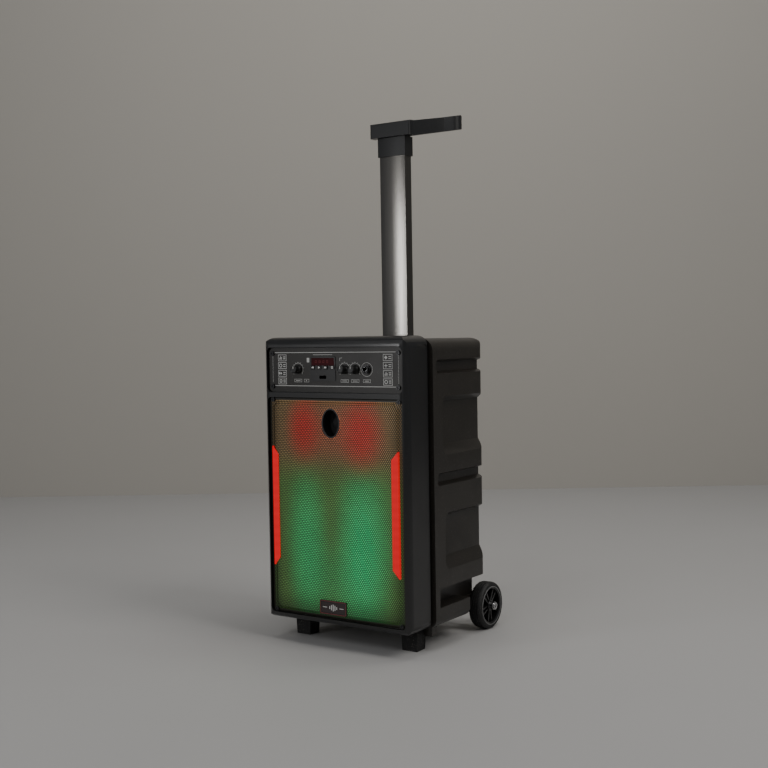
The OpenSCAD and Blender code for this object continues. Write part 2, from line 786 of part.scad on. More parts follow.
module player_module() {
    color("#151517") at_face() difference() {
        union() {
            slab_y(module_front, -hair) polygon(round_box(
                module_x - module_w / 2, module_z - module_h / 2,
                module_x + module_w / 2, module_z + module_h / 2, 2, 2));
            block(module_x - module_w / 2 + 2, module_x + module_w / 2 - 2, module_front + 0.3,
                  module_back, module_z - module_h / 2 + 2, module_z + module_h / 2 - 2);
        }
        block(module_x - display_w / 2 - hair, module_x + display_w / 2 + hair, module_front - cut,
              module_front + 1.6, display_z - display_h / 2 - hair, display_z + display_h / 2 + hair);
        for (i = [0:3]) {
            x = button_x(i);
            w = button_w / 2 + button_gap;
            h = button_h / 2 + button_gap;
            block(x - w, x + w, module_front - cut, 3, button_z - h, button_z + h);
            block(x - w - 1.3, x + w + 1.3, 2, module_back - 2, button_z - h - 1, button_z + h + 1);
        }
        block(module_x - usb_w / 2, module_x + usb_w / 2, module_front - cut, module_back - 1,
              usb_z - usb_h / 2, usb_z + usb_h / 2);
    }
}

module display_window() {
    color("#5c1018") at_face()
        block(module_x - display_w / 2, module_x + display_w / 2, module_front - 0.2,
              module_front + 1.5, display_z - display_h / 2, display_z + display_h / 2);
}

// A push button with a flange that keeps it in the module
module button(i) {
    x = button_x(i);
    w = button_w / 2;
    h = button_h / 2;
    color("#d8d8d8") at_face() {
        slab_y(module_front - button_proud, 4)
            polygon(round_box(x - w, button_z - h, x + w, button_z + h, 1, 1));
        block(x - w - 1, x + w + 1, 3.3, 5, button_z - h - 0.7, button_z + h + 0.7);
    }
}

module previous_button() {
    button(0);
}

module play_button() {
    button(1);
}

module next_button() {
    button(2);
}

module mode_button() {
    button(3);
}

module potentiometers() {
    color("#7b7d80") at_face() for (x = [volume_x, echo_x, tone_x]) difference() {
        union() {
            rod_y(x, control_z, bush_r, 0, panel_t + 2);
            rod_y(x, control_z, pot_r, panel_t + hair, board_y - hair);
        }
        rod_y(x, control_z, shaft_dia / 2 + shaft_gap, -cut, board_y - 1);
    }
}

module pot_shaft(x) {
    color("#c0c0c4") at_face() rod_y(x, control_z, shaft_dia / 2, shaft_front, board_y - 1.5);
}

module volume_shaft() {
    pot_shaft(volume_x);
}

module echo_shaft() {
    pot_shaft(echo_x);
}

module tone_shaft() {
    pot_shaft(tone_x);
}

// A round knob with a skirt, a finger ring of flutes and a pointer slot
module knob(x) {
    r = knob_dia / 2;
    color("#111112") at_face() difference() {
        union() {
            rod_y(x, control_z, r, -knob_lift - 2.4, -knob_lift);
            rod_y(x, control_z, r - 0.8, knob_front + 0.8, -knob_lift - 2);
            rod_y(x, control_z, r - 1.6, knob_front, -knob_lift - 2);
        }
        rod_y(x, control_z, shaft_dia / 2 + 0.02, shaft_front - hair, -knob_lift + cut);
        for (a = [30:30:330])
            rod_y(x + r * sin(a), control_z + r * cos(a), 1.1, knob_front - cut, -knob_lift - 3);
        block(x - 0.5, x + 0.5, knob_front - cut, knob_front + 0.6, control_z + 1, control_z + r);
    }
}

module volume_knob() {
    knob(volume_x);
}

module echo_knob() {
    knob(echo_x);
}

module tone_knob() {
    knob(tone_x);
}

// The jack's body, its threaded nose, and the six-sided nut that holds it
module mic_jack() {
    color("#b9b9bb") at_face() difference() {
        union() {
            rod_y(jack_x, control_z, 5.8, jack_front, -2);
            rod_y(jack_x, control_z, 4.6, -3, panel_t + 2);
            turned_y(jack_x, control_z, -2.6) cylinder(r = 8, h = 2.6 - hair, $fn = 6);
            block(jack_x - jack_body / 2, jack_x + jack_body / 2, panel_t + hair, jack_back,
                  control_z - jack_body / 2, control_z + jack_body / 2);
        }
        rod_y(jack_x, control_z, jack_bore / 2, jack_front - cut, jack_back - 2);
    }
}

module main_board() {
    color("#1f5c36") at_face()
        block(volume_x - 18, jack_x - jack_body / 2 - 1, board_y, board_y + board_t,
              panel_mid - 22, panel_mid + 22);
}

// ---------------------------------------------------------------- inside the cabinet

module amplifier_board() {
    color("#1f5c36") at_face()
        block(amp_x0, amp_x0 + amp_w, amp_y, amp_y + board_t - hair, amp_z0, amp_z0 + amp_h);
}

module heat_sink() {
    x0 = amp_x0 + 14;
    x1 = amp_x0 + amp_w - 14;
    z0 = amp_z0 + 14;
    z1 = amp_z0 + amp_h - 14;
    fins = 7;
    color("#b4b6b8") at_face() {
        block(x0, x1, amp_y - 4, amp_y - hair, z0, z1);
        for (i = [0:fins - 1]) {
            x = x0 + (x1 - x0 - 2) * i / (fins - 1);
            block(x, x + 2, amp_y - 22, amp_y - 3, z0, z1);
        }
    }
}

module battery_pack() {
    color("#2f3440") at_face() {
        block(-battery[0] / 2, battery[0] / 2, battery_y, battery_y + battery[1],
              floor_z + hair, floor_z + battery[2]);
        for (s = [-1, 1])
            block(s * 32 - 3, s * 32 + 3, battery_y + 8, battery_y + 9, floor_z + battery[2] - cut,
                  floor_z + battery[2] + 7);
    }
}

// A steel band over the battery, with a foot at each end on the cabinet's floor
module battery_strap() {
    y0 = battery_y - hair;
    y1 = battery_y + battery[1] + hair;
    z0 = floor_z + hair;
    z1 = floor_z + battery[2] + hair;
    t = strap_t;
    color("#9fa1a4") at_face() slab_x(-8, 8) polygon([
        [y0 - 16, z0], [y0 - 16, z0 + t], [y0 - t, z0 + t], [y0 - t, z1 + t], [y1 + t, z1 + t],
        [y1 + t, z0 + t], [y1 + 16, z0 + t], [y1 + 16, z0], [y1, z0], [y1, z1], [y0, z1], [y0, z0]]);
}

// One insulated lead that runs in straight stretches along the axes
module lead(points) {
    r = 1.6;
    for (i = [0:len(points) - 2]) {
        a = points[i];
        d = points[i + 1] - a;
        l = norm(d);
        translate(a)
            rotate(d[0] != 0 ? [0, sign(d[0]) * 90, 0]
                 : d[1] != 0 ? [-sign(d[1]) * 90, 0, 0] : [d[2] > 0 ? 0 : 180, 0, 0])
                cylinder(r = r, h = l);
        if (i > 0) translate(a) sphere(r = r * 1.2, $fn = 24);
    }
}

module wiring() {
    amp_front = amp_y - hair;
    y_run = baffle_back + 20;
    color("#b03030") at_face() {
        // Amplifier to woofer
        lead([[amp_x0 + 8, amp_front, amp_z0 + 20], [amp_x0 + 8, amp_y - 40, amp_z0 + 20],
              [amp_x0 + 8, amp_y - 40, woofer_z + 30], [amp_x0 + 8, baffle_y + woofer_depth - 10, woofer_z + 30],
              [magnet_r - 8, baffle_y + woofer_depth - 10, woofer_z + 30]]);
        // Amplifier to main board
        lead([[amp_x0 + 8, amp_front, amp_z0 + amp_h - 16], [amp_x0 + 8, y_run, amp_z0 + amp_h - 16],
              [amp_x0 + 8, y_run, panel_mid - 12], [amp_x0 - 10, y_run, panel_mid - 12],
              [amp_x0 - 10, board_y + board_t + hair, panel_mid - 12]]);
        // Battery to amplifier
        lead([[35 + hair, battery_y + 8.5, floor_z + battery[2] + 5], [62, battery_y + 8.5, floor_z + battery[2] + 5],
              [62, battery_y + 8.5, amp_z0 + 6], [62, amp_front, amp_z0 + 6]]);
    }
}

module inlet_plate() {
    color("#202022") at_face() difference() {
        slab_y(inlet_y + hair, inlet_y + 2) polygon(round_box(
            inlet_x - inlet_w / 2, inlet_z - inlet_h / 2,
            inlet_x + inlet_w / 2, inlet_z + inlet_h / 2, 3, 3));
        block(inlet_x - 25, inlet_x - 5, inlet_y - cut, inlet_y + 3, inlet_z - 7, inlet_z + 7);
        rod_y(inlet_x + 16, inlet_z, 5 + hair, inlet_y - cut, inlet_y + 3);
    }
}

module charge_inlet() {
    color("#151517") at_face() difference() {
        union() {
            rod_y(inlet_x + 16, inlet_z, 5, inlet_y - 12, inlet_y + 3);
            rod_y(inlet_x + 16, inlet_z, 7.5, inlet_y + 2 + hair, inlet_y + 4);
        }
        rod_y(inlet_x + 16, inlet_z, 2.8, inlet_y - 8, inlet_y + 5);
    }
}

// A rocker on a pivot along X. It is made with its right-hand end pressed in.
module power_switch() {
    pivot_y = inlet_y + 1;
    color("#b01818") at_face() translate([inlet_x - 15, pivot_y, inlet_z]) rotate([0, 0, -7]) {
        slab_z(-6.4, 6.4)
            polygon([[-9, 3], [0, 1.6], [9, 3], [9, 0.6], [4, -6], [-4, -6], [-9, 0.6]]);
        rod_z(0, 0, 1.2, -6.8, 6.8);
    }
}

// ---------------------------------------------------------------- feet and wheels

// The right front foot, narrower at the floor, with two counterbored screw holes
module foot() {
    color("#161616") at_face() difference() {
        intersection() {
            slab_y(foot_y, foot_y + foot_d)
                polygon([[foot_x - foot_w / 2 + 1.5, 0], [foot_x + foot_w / 2 - 1.5, 0],
                         [foot_x + foot_w / 2, frame_z - hair], [foot_x - foot_w / 2, frame_z - hair]]);
            slab_x(foot_x - foot_w, foot_x + foot_w)
                polygon([[foot_y + 1, 0], [foot_y + foot_d - 2, 0],
                         [foot_y + foot_d, frame_z - hair], [foot_y, frame_z - hair]]);
        }
        for (y = foot_screw_y) {
            rod_z(foot_x, y, screw_hole + 0.2, -cut, frame_z + cut);
            rod_z(foot_x, y, head_r + 0.4, -cut, frame_z - 14);
        }
    }
}

module foot_right() {
    foot();
}

module foot_left() {
    mirror([1, 0, 0]) foot();
}

module foot_screws() {
    color("#8a8a8c") at_face() for (s = [-1, 1]) for (y = foot_screw_y)
        translate([s * foot_x, y, frame_z - 14]) rotate([180, 0, 0]) screw(22);
}

module axle() {
    color("#c4c6c8") at_face() rod_x(axle_y, axle_z, axle_dia / 2, -wheel_end - 0.5, wheel_end + 0.5);
}

module axle_clips() {
    color("#8a8a8c") at_face() both_sides() difference() {
        rod_x(axle_y, axle_z, cap_r - 1.5, hub_end + 0.3, hub_end + 0.3 + clip_t);
        rod_x(axle_y, axle_z, axle_dia / 2, hub_end, hub_end + 3);
    }
}

// Turns a wheel piece made round the Z axis onto the right-hand axle, Z pointing outwards
module on_axle() {
    at_face() translate([wheel_x, axle_y, axle_z]) rotate([0, 90, 0]) children();
}

module wheel() {
    ring = 4;
    color("#101012") on_axle() difference() {
        union() {
            rotate_extrude($fn = 72) polygon([
                [rim_r - ring, 1], [rim_r, 1], [rim_r, wheel_w - 1], [rim_r - 1.6, wheel_w],
                [rim_r - ring, wheel_w - 1.5]]);
            translate([0, 0, 8]) cylinder(r = rim_r - ring + 1, h = 3);
            cylinder(r = hub_r, h = wheel_w - 2);
            for (i = [0:spokes - 1]) for (s = [-1, 1]) rotate([0, 0, i * 360 / spokes + s * 8])
                block(hub_r - 1.5, rim_r - ring + 1, -1.4 + s * 1.4, 1.4 + s * 1.4, 10, wheel_w - 4);
        }
        translate([0, 0, -cut]) cylinder(r = axle_dia / 2 + axle_gap, h = wheel_w + 2 * cut);
    }
}

module tyre() {
    r = wheel_dia / 2;
    e = 4;
    color("#181818") on_axle() rotate_extrude($fn = 72) polygon(concat(
        [[rim_r, 0.5]], arc(r - e, e, e, -90, 0), arc(r - e, wheel_w - e, e, 0, 90),
        [[rim_r, wheel_w - 0.5]]));
}

// A cap pressed on the hub, hollow over the axle's end, with a six-sided recess
module hub_cap() {
    start = wheel_w - 2 + hair;
    color("#c8c8ca") on_axle() difference() {
        union() {
            translate([0, 0, start]) cylinder(r = cap_r, h = cap_len - 2);
            translate([0, 0, start + cap_len - 3]) cylinder(r = cap_r - 1, h = 3);
        }
        translate([0, 0, start - cut]) cylinder(r = cap_r - 1.2, h = 4.6);
        translate([0, 0, start + cap_len - 3]) cylinder(r = 3, h = 3 + cut, $fn = 6);
    }
}

module wheel_right() {
    wheel();
}

module tyre_right() {
    tyre();
}

module hub_cap_right() {
    hub_cap();
}

module wheel_left() {
    mirror([1, 0, 0]) wheel();
}

module tyre_left() {
    mirror([1, 0, 0]) tyre();
}

module hub_cap_left() {
    mirror([1, 0, 0]) hub_cap();
}

// ---------------------------------------------------------------- handle

// Extrudes the tube's outline, grown by outer and hollowed to inner, from z0 to z1
module sleeve(outer, inner, z0, z1) {
    at_face() translate([0, tube_mid, 0]) difference() {
        slab_z(z0, z1) polygon(tube_outline(outer));
        slab_z(z0 - cut, z1 + cut) polygon(tube_outline(inner));
    }
}

module guide_tube() {
    color("#7f8184") sleeve(slide_gap + guide_wall, slide_gap, guide_bottom, cab_top - hair);
}

module guide_bezel() {
    color("#141414") sleeve(9, slide_gap, cab_top + hair, cab_top + bezel_h);
}

module handle_tube() {
    color("#3c3a38") difference() {
        sleeve(0, -tube_wall, tube_bottom, tube_top);
        at_face() for (d = detents) rod_y(0, tube_top - d, 2.1, tube_mid, tube_y + tube_d + cut);
    }
}

module tube_slider() {
    color("#141414") at_face() translate([0, tube_mid, 0]) {
        slab_z(tube_bottom - slider_h, tube_bottom - hair) polygon(tube_outline(slide_gap - 0.3));
        slab_z(tube_bottom - slider_h, tube_bottom + 14) polygon(tube_outline(-tube_wall - hair));
    }
}

module handle_collar() {
    color("#1c1b1a") sleeve(collar_t, hair, collar_z, grip_z - hair);
}

// Outline in X and Y of the grip: a narrow head that widens into a bar behind the hand hole
module grip_plan() {
    hw = grip_head_w / 2;
    bw = grip_bar_w / 2;
    y0 = grip_y;
    yb = grip_back - grip_bar_d;
    r = grip_bar_d / 2;
    side = concat(arc(hw - 4, y0 + 4, 4, -90, 0), [[hw, y0 + 14], [hw + 12, yb - 22], [hw + 20, yb - 4]],
                  arc(bw - r, yb + r, r, -70, 90));
    difference() {
        polygon(concat(side, [for (i = [len(side) - 1:-1:0]) [-side[i][0], side[i][1]]]));
        polygon(round_box(-hand_w / 2, tube_y + tube_d + 8, hand_w / 2, yb, 8, 8));
    }
}

// Outline in Y and Z of the grip: upright at the front, then rising with the tilt
module grip_profile() {
    r = grip_t / 2;
    bend = grip_y + 15;
    rise = (grip_back - r - bend) * tan(grip_tilt);
    zc = grip_z + rise + r;
    polygon(concat(
        [[grip_y, grip_z], [grip_y, grip_z + grip_t - 2], [grip_y + 2, grip_z + grip_t],
         [bend, grip_z + grip_t + 0.8]],
        arc(grip_back - r, zc, r, 90 + grip_tilt, -90 + grip_tilt), [[bend, grip_z]]));
}

module handle_grip() {
    color("#1d1e20") at_face() difference() {
        intersection() {
            slab_x(-grip_bar_w, grip_bar_w) grip_profile();
            slab_z(grip_z - 10, grip_z + grip_t + 60) grip_plan();
        }
        translate([0, tube_mid, 0]) slab_z(grip_z - cut, tube_top + hair)
            polygon(tube_outline(hair));
    }
}

front_frame();
rear_cabinet();
seam_gasket();
cabinet_screws();
grille();
grille_cloth();
grille_screws();
badge_plate();
light_strip_left();
light_strip_right();
led_boards();
tweeter_bezel();
tweeter();
woofer_basket();
woofer_surround();
woofer_cone();
woofer_magnet();
woofer_screws();
control_panel();
panel_screws();
player_module();
display_window();
play_button();
previous_button();
next_button();
mode_button();
potentiometers();
volume_shaft();
echo_shaft();
tone_shaft();
volume_knob();
echo_knob();
tone_knob();
mic_jack();
main_board();
amplifier_board();
heat_sink();
battery_pack();
battery_strap();
wiring();
inlet_plate();
charge_inlet();
power_switch();
foot_left();
foot_right();
foot_screws();
axle();
axle_clips();
wheel_left();
tyre_left();
hub_cap_left();
wheel_right();
tyre_right();
hub_cap_right();
guide_tube();
guide_bezel();
handle_tube();
handle_collar();
handle_grip();
tube_slider();
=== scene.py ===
import math

import bmesh
import bpy
from mathutils import Matrix, Vector


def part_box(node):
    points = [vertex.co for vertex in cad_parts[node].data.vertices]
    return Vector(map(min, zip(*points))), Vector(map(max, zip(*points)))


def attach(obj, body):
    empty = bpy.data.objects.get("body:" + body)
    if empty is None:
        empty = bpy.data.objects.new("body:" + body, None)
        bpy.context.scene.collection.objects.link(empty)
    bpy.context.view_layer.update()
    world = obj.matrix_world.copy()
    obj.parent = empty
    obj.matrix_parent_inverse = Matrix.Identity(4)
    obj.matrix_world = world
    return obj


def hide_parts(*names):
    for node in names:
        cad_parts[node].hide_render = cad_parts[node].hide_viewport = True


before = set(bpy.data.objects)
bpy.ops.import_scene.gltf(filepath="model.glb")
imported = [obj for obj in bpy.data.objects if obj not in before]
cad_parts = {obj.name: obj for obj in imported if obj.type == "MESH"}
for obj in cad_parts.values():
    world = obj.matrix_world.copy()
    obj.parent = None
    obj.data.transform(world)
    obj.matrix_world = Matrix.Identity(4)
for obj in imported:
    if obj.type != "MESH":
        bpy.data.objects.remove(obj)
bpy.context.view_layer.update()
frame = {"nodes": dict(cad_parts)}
NODES = frame["nodes"]

bl_info = {
    "name": "Trolley Speaker Finishes",
    "version": (1, 0, 0),
    "blender": (4, 5, 0),
    "location": "3D View > Sidebar > Speaker",
    "description": "Finishes and fine pieces for a trolley party speaker",
    "category": "Object",
}

MM = 0.001
RUN = 6.0                                 # Width in millimetres of the grille's pressed step
SIDE_RIM = 7.5                            # Flat rim in millimetres along the grille's sides
END_RIM = 5.0                             # Flat rim in millimetres along its foot and head
CORNER_CUT = 9.0                          # How far in millimetres the step cuts each corner
BOW_INSET = 12.0                          # Where the bow ends, in millimetres from the side
HOLE_MARGIN = 3.6                         # Plain steel in millimetres round the holes
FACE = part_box("control_panel")[0][1]      # Depth of the plane that the grille's rim lies in
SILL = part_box("grille")[0][2] - 0.0005    # Height of the grille's bottom edge
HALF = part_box("grille")[1][0] + 0.0005    # Half the width of the grille's window
TOP = (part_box("grille")[1][2] - SILL) / MM + 0.5    # Height of its top in millimetres
KNOB_Z = 0.5 * (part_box("volume_knob")[0][2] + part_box("volume_knob")[1][2])
EYE = Vector((1.09066, -1.59375, 0.49079))          # Place of the camera
KNOBS = ("volume", "echo", "tone")
materials = {}


def at(x, depth, height):
    """A point from millimetres: x, depth behind the grille's rim, height above its sill."""
    return Vector((x * MM, FACE + depth * MM, SILL + height * MM))


# ---------------------------------------------------------------- sizes and colours


def length(name, description, value):
    return bpy.props.FloatProperty(name=name, description=description, default=value,
                                   unit="LENGTH")


def colour(name, description, value):
    return bpy.props.FloatVectorProperty(name=name, description=description, default=value,
                                         size=3, subtype="COLOR")


class SpeakerSizes(bpy.types.PropertyGroup):
    hole_pitch: length("Hole pitch", "Distance between the grille's holes", 3.3 * MM)
    hole_diameter: length("Hole diameter", "Diameter of the grille's holes", 2.5 * MM)
    sheet: length("Sheet thickness", "Thickness of the grille's steel", 0.9 * MM)
    grille_bow: length("Grille bow", "How far the grille's middle stands out past its step", 6.5 * MM)
    grille_step: length("Grille step", "Height of the pressed step round the grille", 3.5 * MM)
    edge_round: length("Edge rounding", "Rounding of the moulded edges", 0.9 * MM)
    knurls: bpy.props.IntProperty(
        name="Knurls", description="Number of grooves round a knob", default=26, min=8)
    camera_lens: bpy.props.FloatProperty(
        name="Camera lens", description="Focal length on a 36 mm sensor",
        default=54.67, subtype="DISTANCE_CAMERA")


class SpeakerColours(bpy.types.PropertyGroup):
    frame: colour("Frame", "Colour of the moulded front frame", (0.006, 0.006, 0.0065))
    cabinet: colour("Cabinet", "Colour of the rear cabinet", (0.024, 0.0205, 0.0165))
    panel: colour("Panel", "Colour of the control panel", (0.020, 0.017, 0.014))
    print: colour("Print", "Colour of the panel's printed lines", (0.88, 0.88, 0.85))
    glow_green: colour("Green glow", "Colour of the lit cloth's lower part", (0.05, 0.74, 0.25))
    glow_red: colour("Red glow", "Colour of the lit cloth's upper spots", (0.66, 0.055, 0.04))
    strip: colour("Light strips", "Colour of the two lit side strips", (0.66, 0.005, 0.010))
    tube: colour("Handle tube", "Colour of the handle tube's coat", (0.21, 0.20, 0.185))
    wall: colour("Backdrop", "Colour of the backdrop", (0.42, 0.40, 0.365))
    floor: colour("Floor", "Colour of the floor", (0.46, 0.455, 0.45))


# ---------------------------------------------------------------- materials


def socket(tree, kind, name, in_out="INPUT", default=None):
    s = tree.interface.new_socket(name=name, in_out=in_out, socket_type="NodeSocket" + kind)
    if default is not None:
        s.default_value = default
    return s


def wire(tree, source, target):
    tree.links.new(source, target)


def calc(tree, operation, a, b=None, c=None, clamp=False):
    """A Math node. Each of a, b and c is a number or an output."""
    n = tree.nodes.new("ShaderNodeMath")
    n.operation = operation
    n.use_clamp = clamp
    for i, v in enumerate((a, b, c)):
        if v is None:
            continue
        if isinstance(v, (int, float)):
            n.inputs[i].default_value = v
        else:
            tree.links.new(v, n.inputs[i])
    return n.outputs[0]


def blend(tree, factor, a, b, mode="MIX"):
    """A colour Mix node. Each of factor, a and b is a value or an output."""
    n = tree.nodes.new("ShaderNodeMix")
    n.data_type = "RGBA"
    n.blend_type = mode
    for i, v in ((0, factor), (6, a), (7, b)):
        if isinstance(v, bpy.types.NodeSocket):
            tree.links.new(v, n.inputs[i])
        elif isinstance(v, (int, float)):
            n.inputs[i].default_value = v
        else:
            n.inputs[i].default_value = (*v[:3], 1)
    return n.outputs[2]


def moulded_grain():
    """Fine spark-eroded grain with slow changes of tone and gloss."""
    if "moulded_grain" in bpy.data.node_groups:
        return bpy.data.node_groups["moulded_grain"]
    g = bpy.data.node_groups.new("moulded_grain", "ShaderNodeTree")
    socket(g, "Vector", "Vector")
    socket(g, "Color", "Colour")
    socket(g, "Float", "Grain Size", default=0.0006)
    socket(g, "Float", "Gloss", default=0.4)
    socket(g, "Float", "Dust", default=0.1)
    socket(g, "Color", "Colour", "OUTPUT")
    socket(g, "Float", "Roughness", "OUTPUT")
    socket(g, "Float", "Height", "OUTPUT")
    i = g.nodes.new("NodeGroupInput")
    o = g.nodes.new("NodeGroupOutput")
    fine = g.nodes.new("ShaderNodeTexNoise")
    fine.inputs["Detail"].default_value = 3
    wire(g, i.outputs["Vector"], fine.inputs["Vector"])
    wire(g, calc(g, "DIVIDE", 1.0, i.outputs["Grain Size"]), fine.inputs["Scale"])
    slow = g.nodes.new("ShaderNodeTexNoise")
    slow.inputs["Scale"].default_value = 14
    slow.inputs["Detail"].default_value = 5
    wire(g, i.outputs["Vector"], slow.inputs["Vector"])
    specks = g.nodes.new("ShaderNodeTexNoise")
    specks.inputs["Scale"].default_value = 420
    specks.inputs["Detail"].default_value = 1
    wire(g, i.outputs["Vector"], specks.inputs["Vector"])
    dust = calc(g, "MULTIPLY", calc(g, "SUBTRACT", specks.outputs[0], 0.62, clamp=True),
                i.outputs["Dust"])
    tone = blend(g, calc(g, "MULTIPLY", slow.outputs[0], 0.5), i.outputs["Colour"],
                 (0.0, 0.0, 0.0))
    wire(g, blend(g, calc(g, "MULTIPLY", dust, 4.0, clamp=True), tone, (0.30, 0.28, 0.25)),
         o.inputs["Colour"])
    gloss = calc(g, "ADD", i.outputs["Gloss"],
                 calc(g, "MULTIPLY", calc(g, "SUBTRACT", slow.outputs[0], 0.5), 0.25))
    wire(g, calc(g, "ADD", gloss, calc(g, "MULTIPLY", dust, 2.0), clamp=True),
         o.inputs["Roughness"])
    wire(g, fine.outputs[0], o.inputs["Height"])
    return g


def brushed_lines():
    """Fine lines drawn along one axis, for bright and coated metal."""
    if "brushed_lines" in bpy.data.node_groups:
        return bpy.data.node_groups["brushed_lines"]
    g = bpy.data.node_groups.new("brushed_lines", "ShaderNodeTree")
    socket(g, "Vector", "Vector")
    socket(g, "Color", "Colour")
    socket(g, "Float", "Gloss", default=0.3)
    socket(g, "Color", "Colour", "OUTPUT")
    socket(g, "Float", "Roughness", "OUTPUT")
    socket(g, "Float", "Height", "OUTPUT")
    i = g.nodes.new("NodeGroupInput")
    o = g.nodes.new("NodeGroupOutput")
    lines = g.nodes.new("ShaderNodeTexNoise")
    lines.inputs["Scale"].default_value = 900
    lines.inputs["Detail"].default_value = 2
    wire(g, i.outputs["Vector"], lines.inputs["Vector"])
    smudge = g.nodes.new("ShaderNodeTexNoise")
    smudge.inputs["Scale"].default_value = 30
    smudge.inputs["Detail"].default_value = 4
    wire(g, i.outputs["Vector"], smudge.inputs["Vector"])
    wire(g, blend(g, calc(g, "MULTIPLY", lines.outputs[0], 0.35), i.outputs["Colour"], (0, 0, 0)),
         o.inputs["Colour"])
    wire(g, calc(g, "ADD", i.outputs["Gloss"],
                 calc(g, "MULTIPLY", calc(g, "SUBTRACT", smudge.outputs[0], 0.45), 0.35),
                 clamp=True), o.inputs["Roughness"])
    wire(g, lines.outputs[0], o.inputs["Height"])
    return g


def start_material(name, metallic=0.0, coat=0.0, specular=0.5):
    m = bpy.data.materials.new(name)
    m.use_nodes = True
    t = m.node_tree
    shader = t.nodes["Principled BSDF"]
    shader.inputs["Metallic"].default_value = metallic
    shader.inputs["Coat Weight"].default_value = coat
    shader.inputs["Coat Roughness"].default_value = 0.15
    shader.inputs["Specular IOR Level"].default_value = specular
    place = t.nodes.new("ShaderNodeTexCoord")
    return m, t, shader, place.outputs["Object"]


def add_bump(t, shader, height, distance, strength=0.4):
    b = t.nodes.new("ShaderNodeBump")
    b.inputs["Distance"].default_value = distance
    b.inputs["Strength"].default_value = strength
    wire(t, height, b.inputs["Height"])
    wire(t, b.outputs[0], shader.inputs["Normal"])


def moulded(name, colour, gloss, grain=0.0006, dust=0.1, coat=0.0, bump=0.00006, metallic=0.0):
    m, t, shader, place = start_material(name, metallic, coat)
    g = t.nodes.new("ShaderNodeGroup")
    g.node_tree = moulded_grain()
    wire(t, place, g.inputs["Vector"])
    g.inputs["Colour"].default_value = (*colour, 1)
    g.inputs["Grain Size"].default_value = grain
    g.inputs["Gloss"].default_value = gloss
    g.inputs["Dust"].default_value = dust
    wire(t, g.outputs["Colour"], shader.inputs["Base Color"])
    wire(t, g.outputs["Roughness"], shader.inputs["Roughness"])
    add_bump(t, shader, g.outputs["Height"], bump)
    return m


def drawn_metal(name, colour, gloss, stretch=(1, 1, 0.02), metallic=1.0, coat=0.0):
    m, t, shader, place = start_material(name, metallic, coat)
    mapping = t.nodes.new("ShaderNodeMapping")
    mapping.inputs["Scale"].default_value = stretch
    wire(t, place, mapping.inputs["Vector"])
    g = t.nodes.new("ShaderNodeGroup")
    g.node_tree = brushed_lines()
    wire(t, mapping.outputs[0], g.inputs["Vector"])
    g.inputs["Colour"].default_value = (*colour, 1)
    g.inputs["Gloss"].default_value = gloss
    wire(t, g.outputs["Colour"], shader.inputs["Base Color"])
    wire(t, g.outputs["Roughness"], shader.inputs["Roughness"])
    add_bump(t, shader, g.outputs["Height"], 0.00002, 0.3)
    return m


def ramp(t, value, start, end, floor=0.0):
    """Rises smoothly from floor to 1 as value goes from start to end."""
    n = t.nodes.new("ShaderNodeMapRange")
    n.interpolation_type = "SMOOTHSTEP"
    n.inputs["From Min"].default_value = start
    n.inputs["From Max"].default_value = end
    n.inputs["To Min"].default_value = floor
    wire(t, value, n.inputs["Value"])
    return n.outputs[0]


def soft_spot(t, place, centre, reach):
    """A mask that is 1 at centre and falls to 0 at the distance reach along X and Z."""
    m = t.nodes.new("ShaderNodeMapping")
    m.vector_type = "TEXTURE"
    m.inputs["Location"].default_value = centre
    m.inputs["Scale"].default_value = (reach[0], 1.0, reach[1])
    wire(t, place, m.inputs["Vector"])
    parts = t.nodes.new("ShaderNodeSeparateXYZ")
    wire(t, m.outputs[0], parts.inputs[0])
    far = calc(t, "SQRT", calc(t, "ADD", calc(t, "POWER", calc(t, "ABSOLUTE", parts.outputs[0]), 2.0),
                               calc(t, "POWER", calc(t, "ABSOLUTE", parts.outputs[2]), 2.0)))
    fall = t.nodes.new("ShaderNodeMapRange")
    fall.interpolation_type = "SMOOTHERSTEP"
    fall.inputs["From Min"].default_value = 1.0
    fall.inputs["From Max"].default_value = 0.0
    wire(t, far, fall.inputs["Value"])
    return fall.outputs[0]


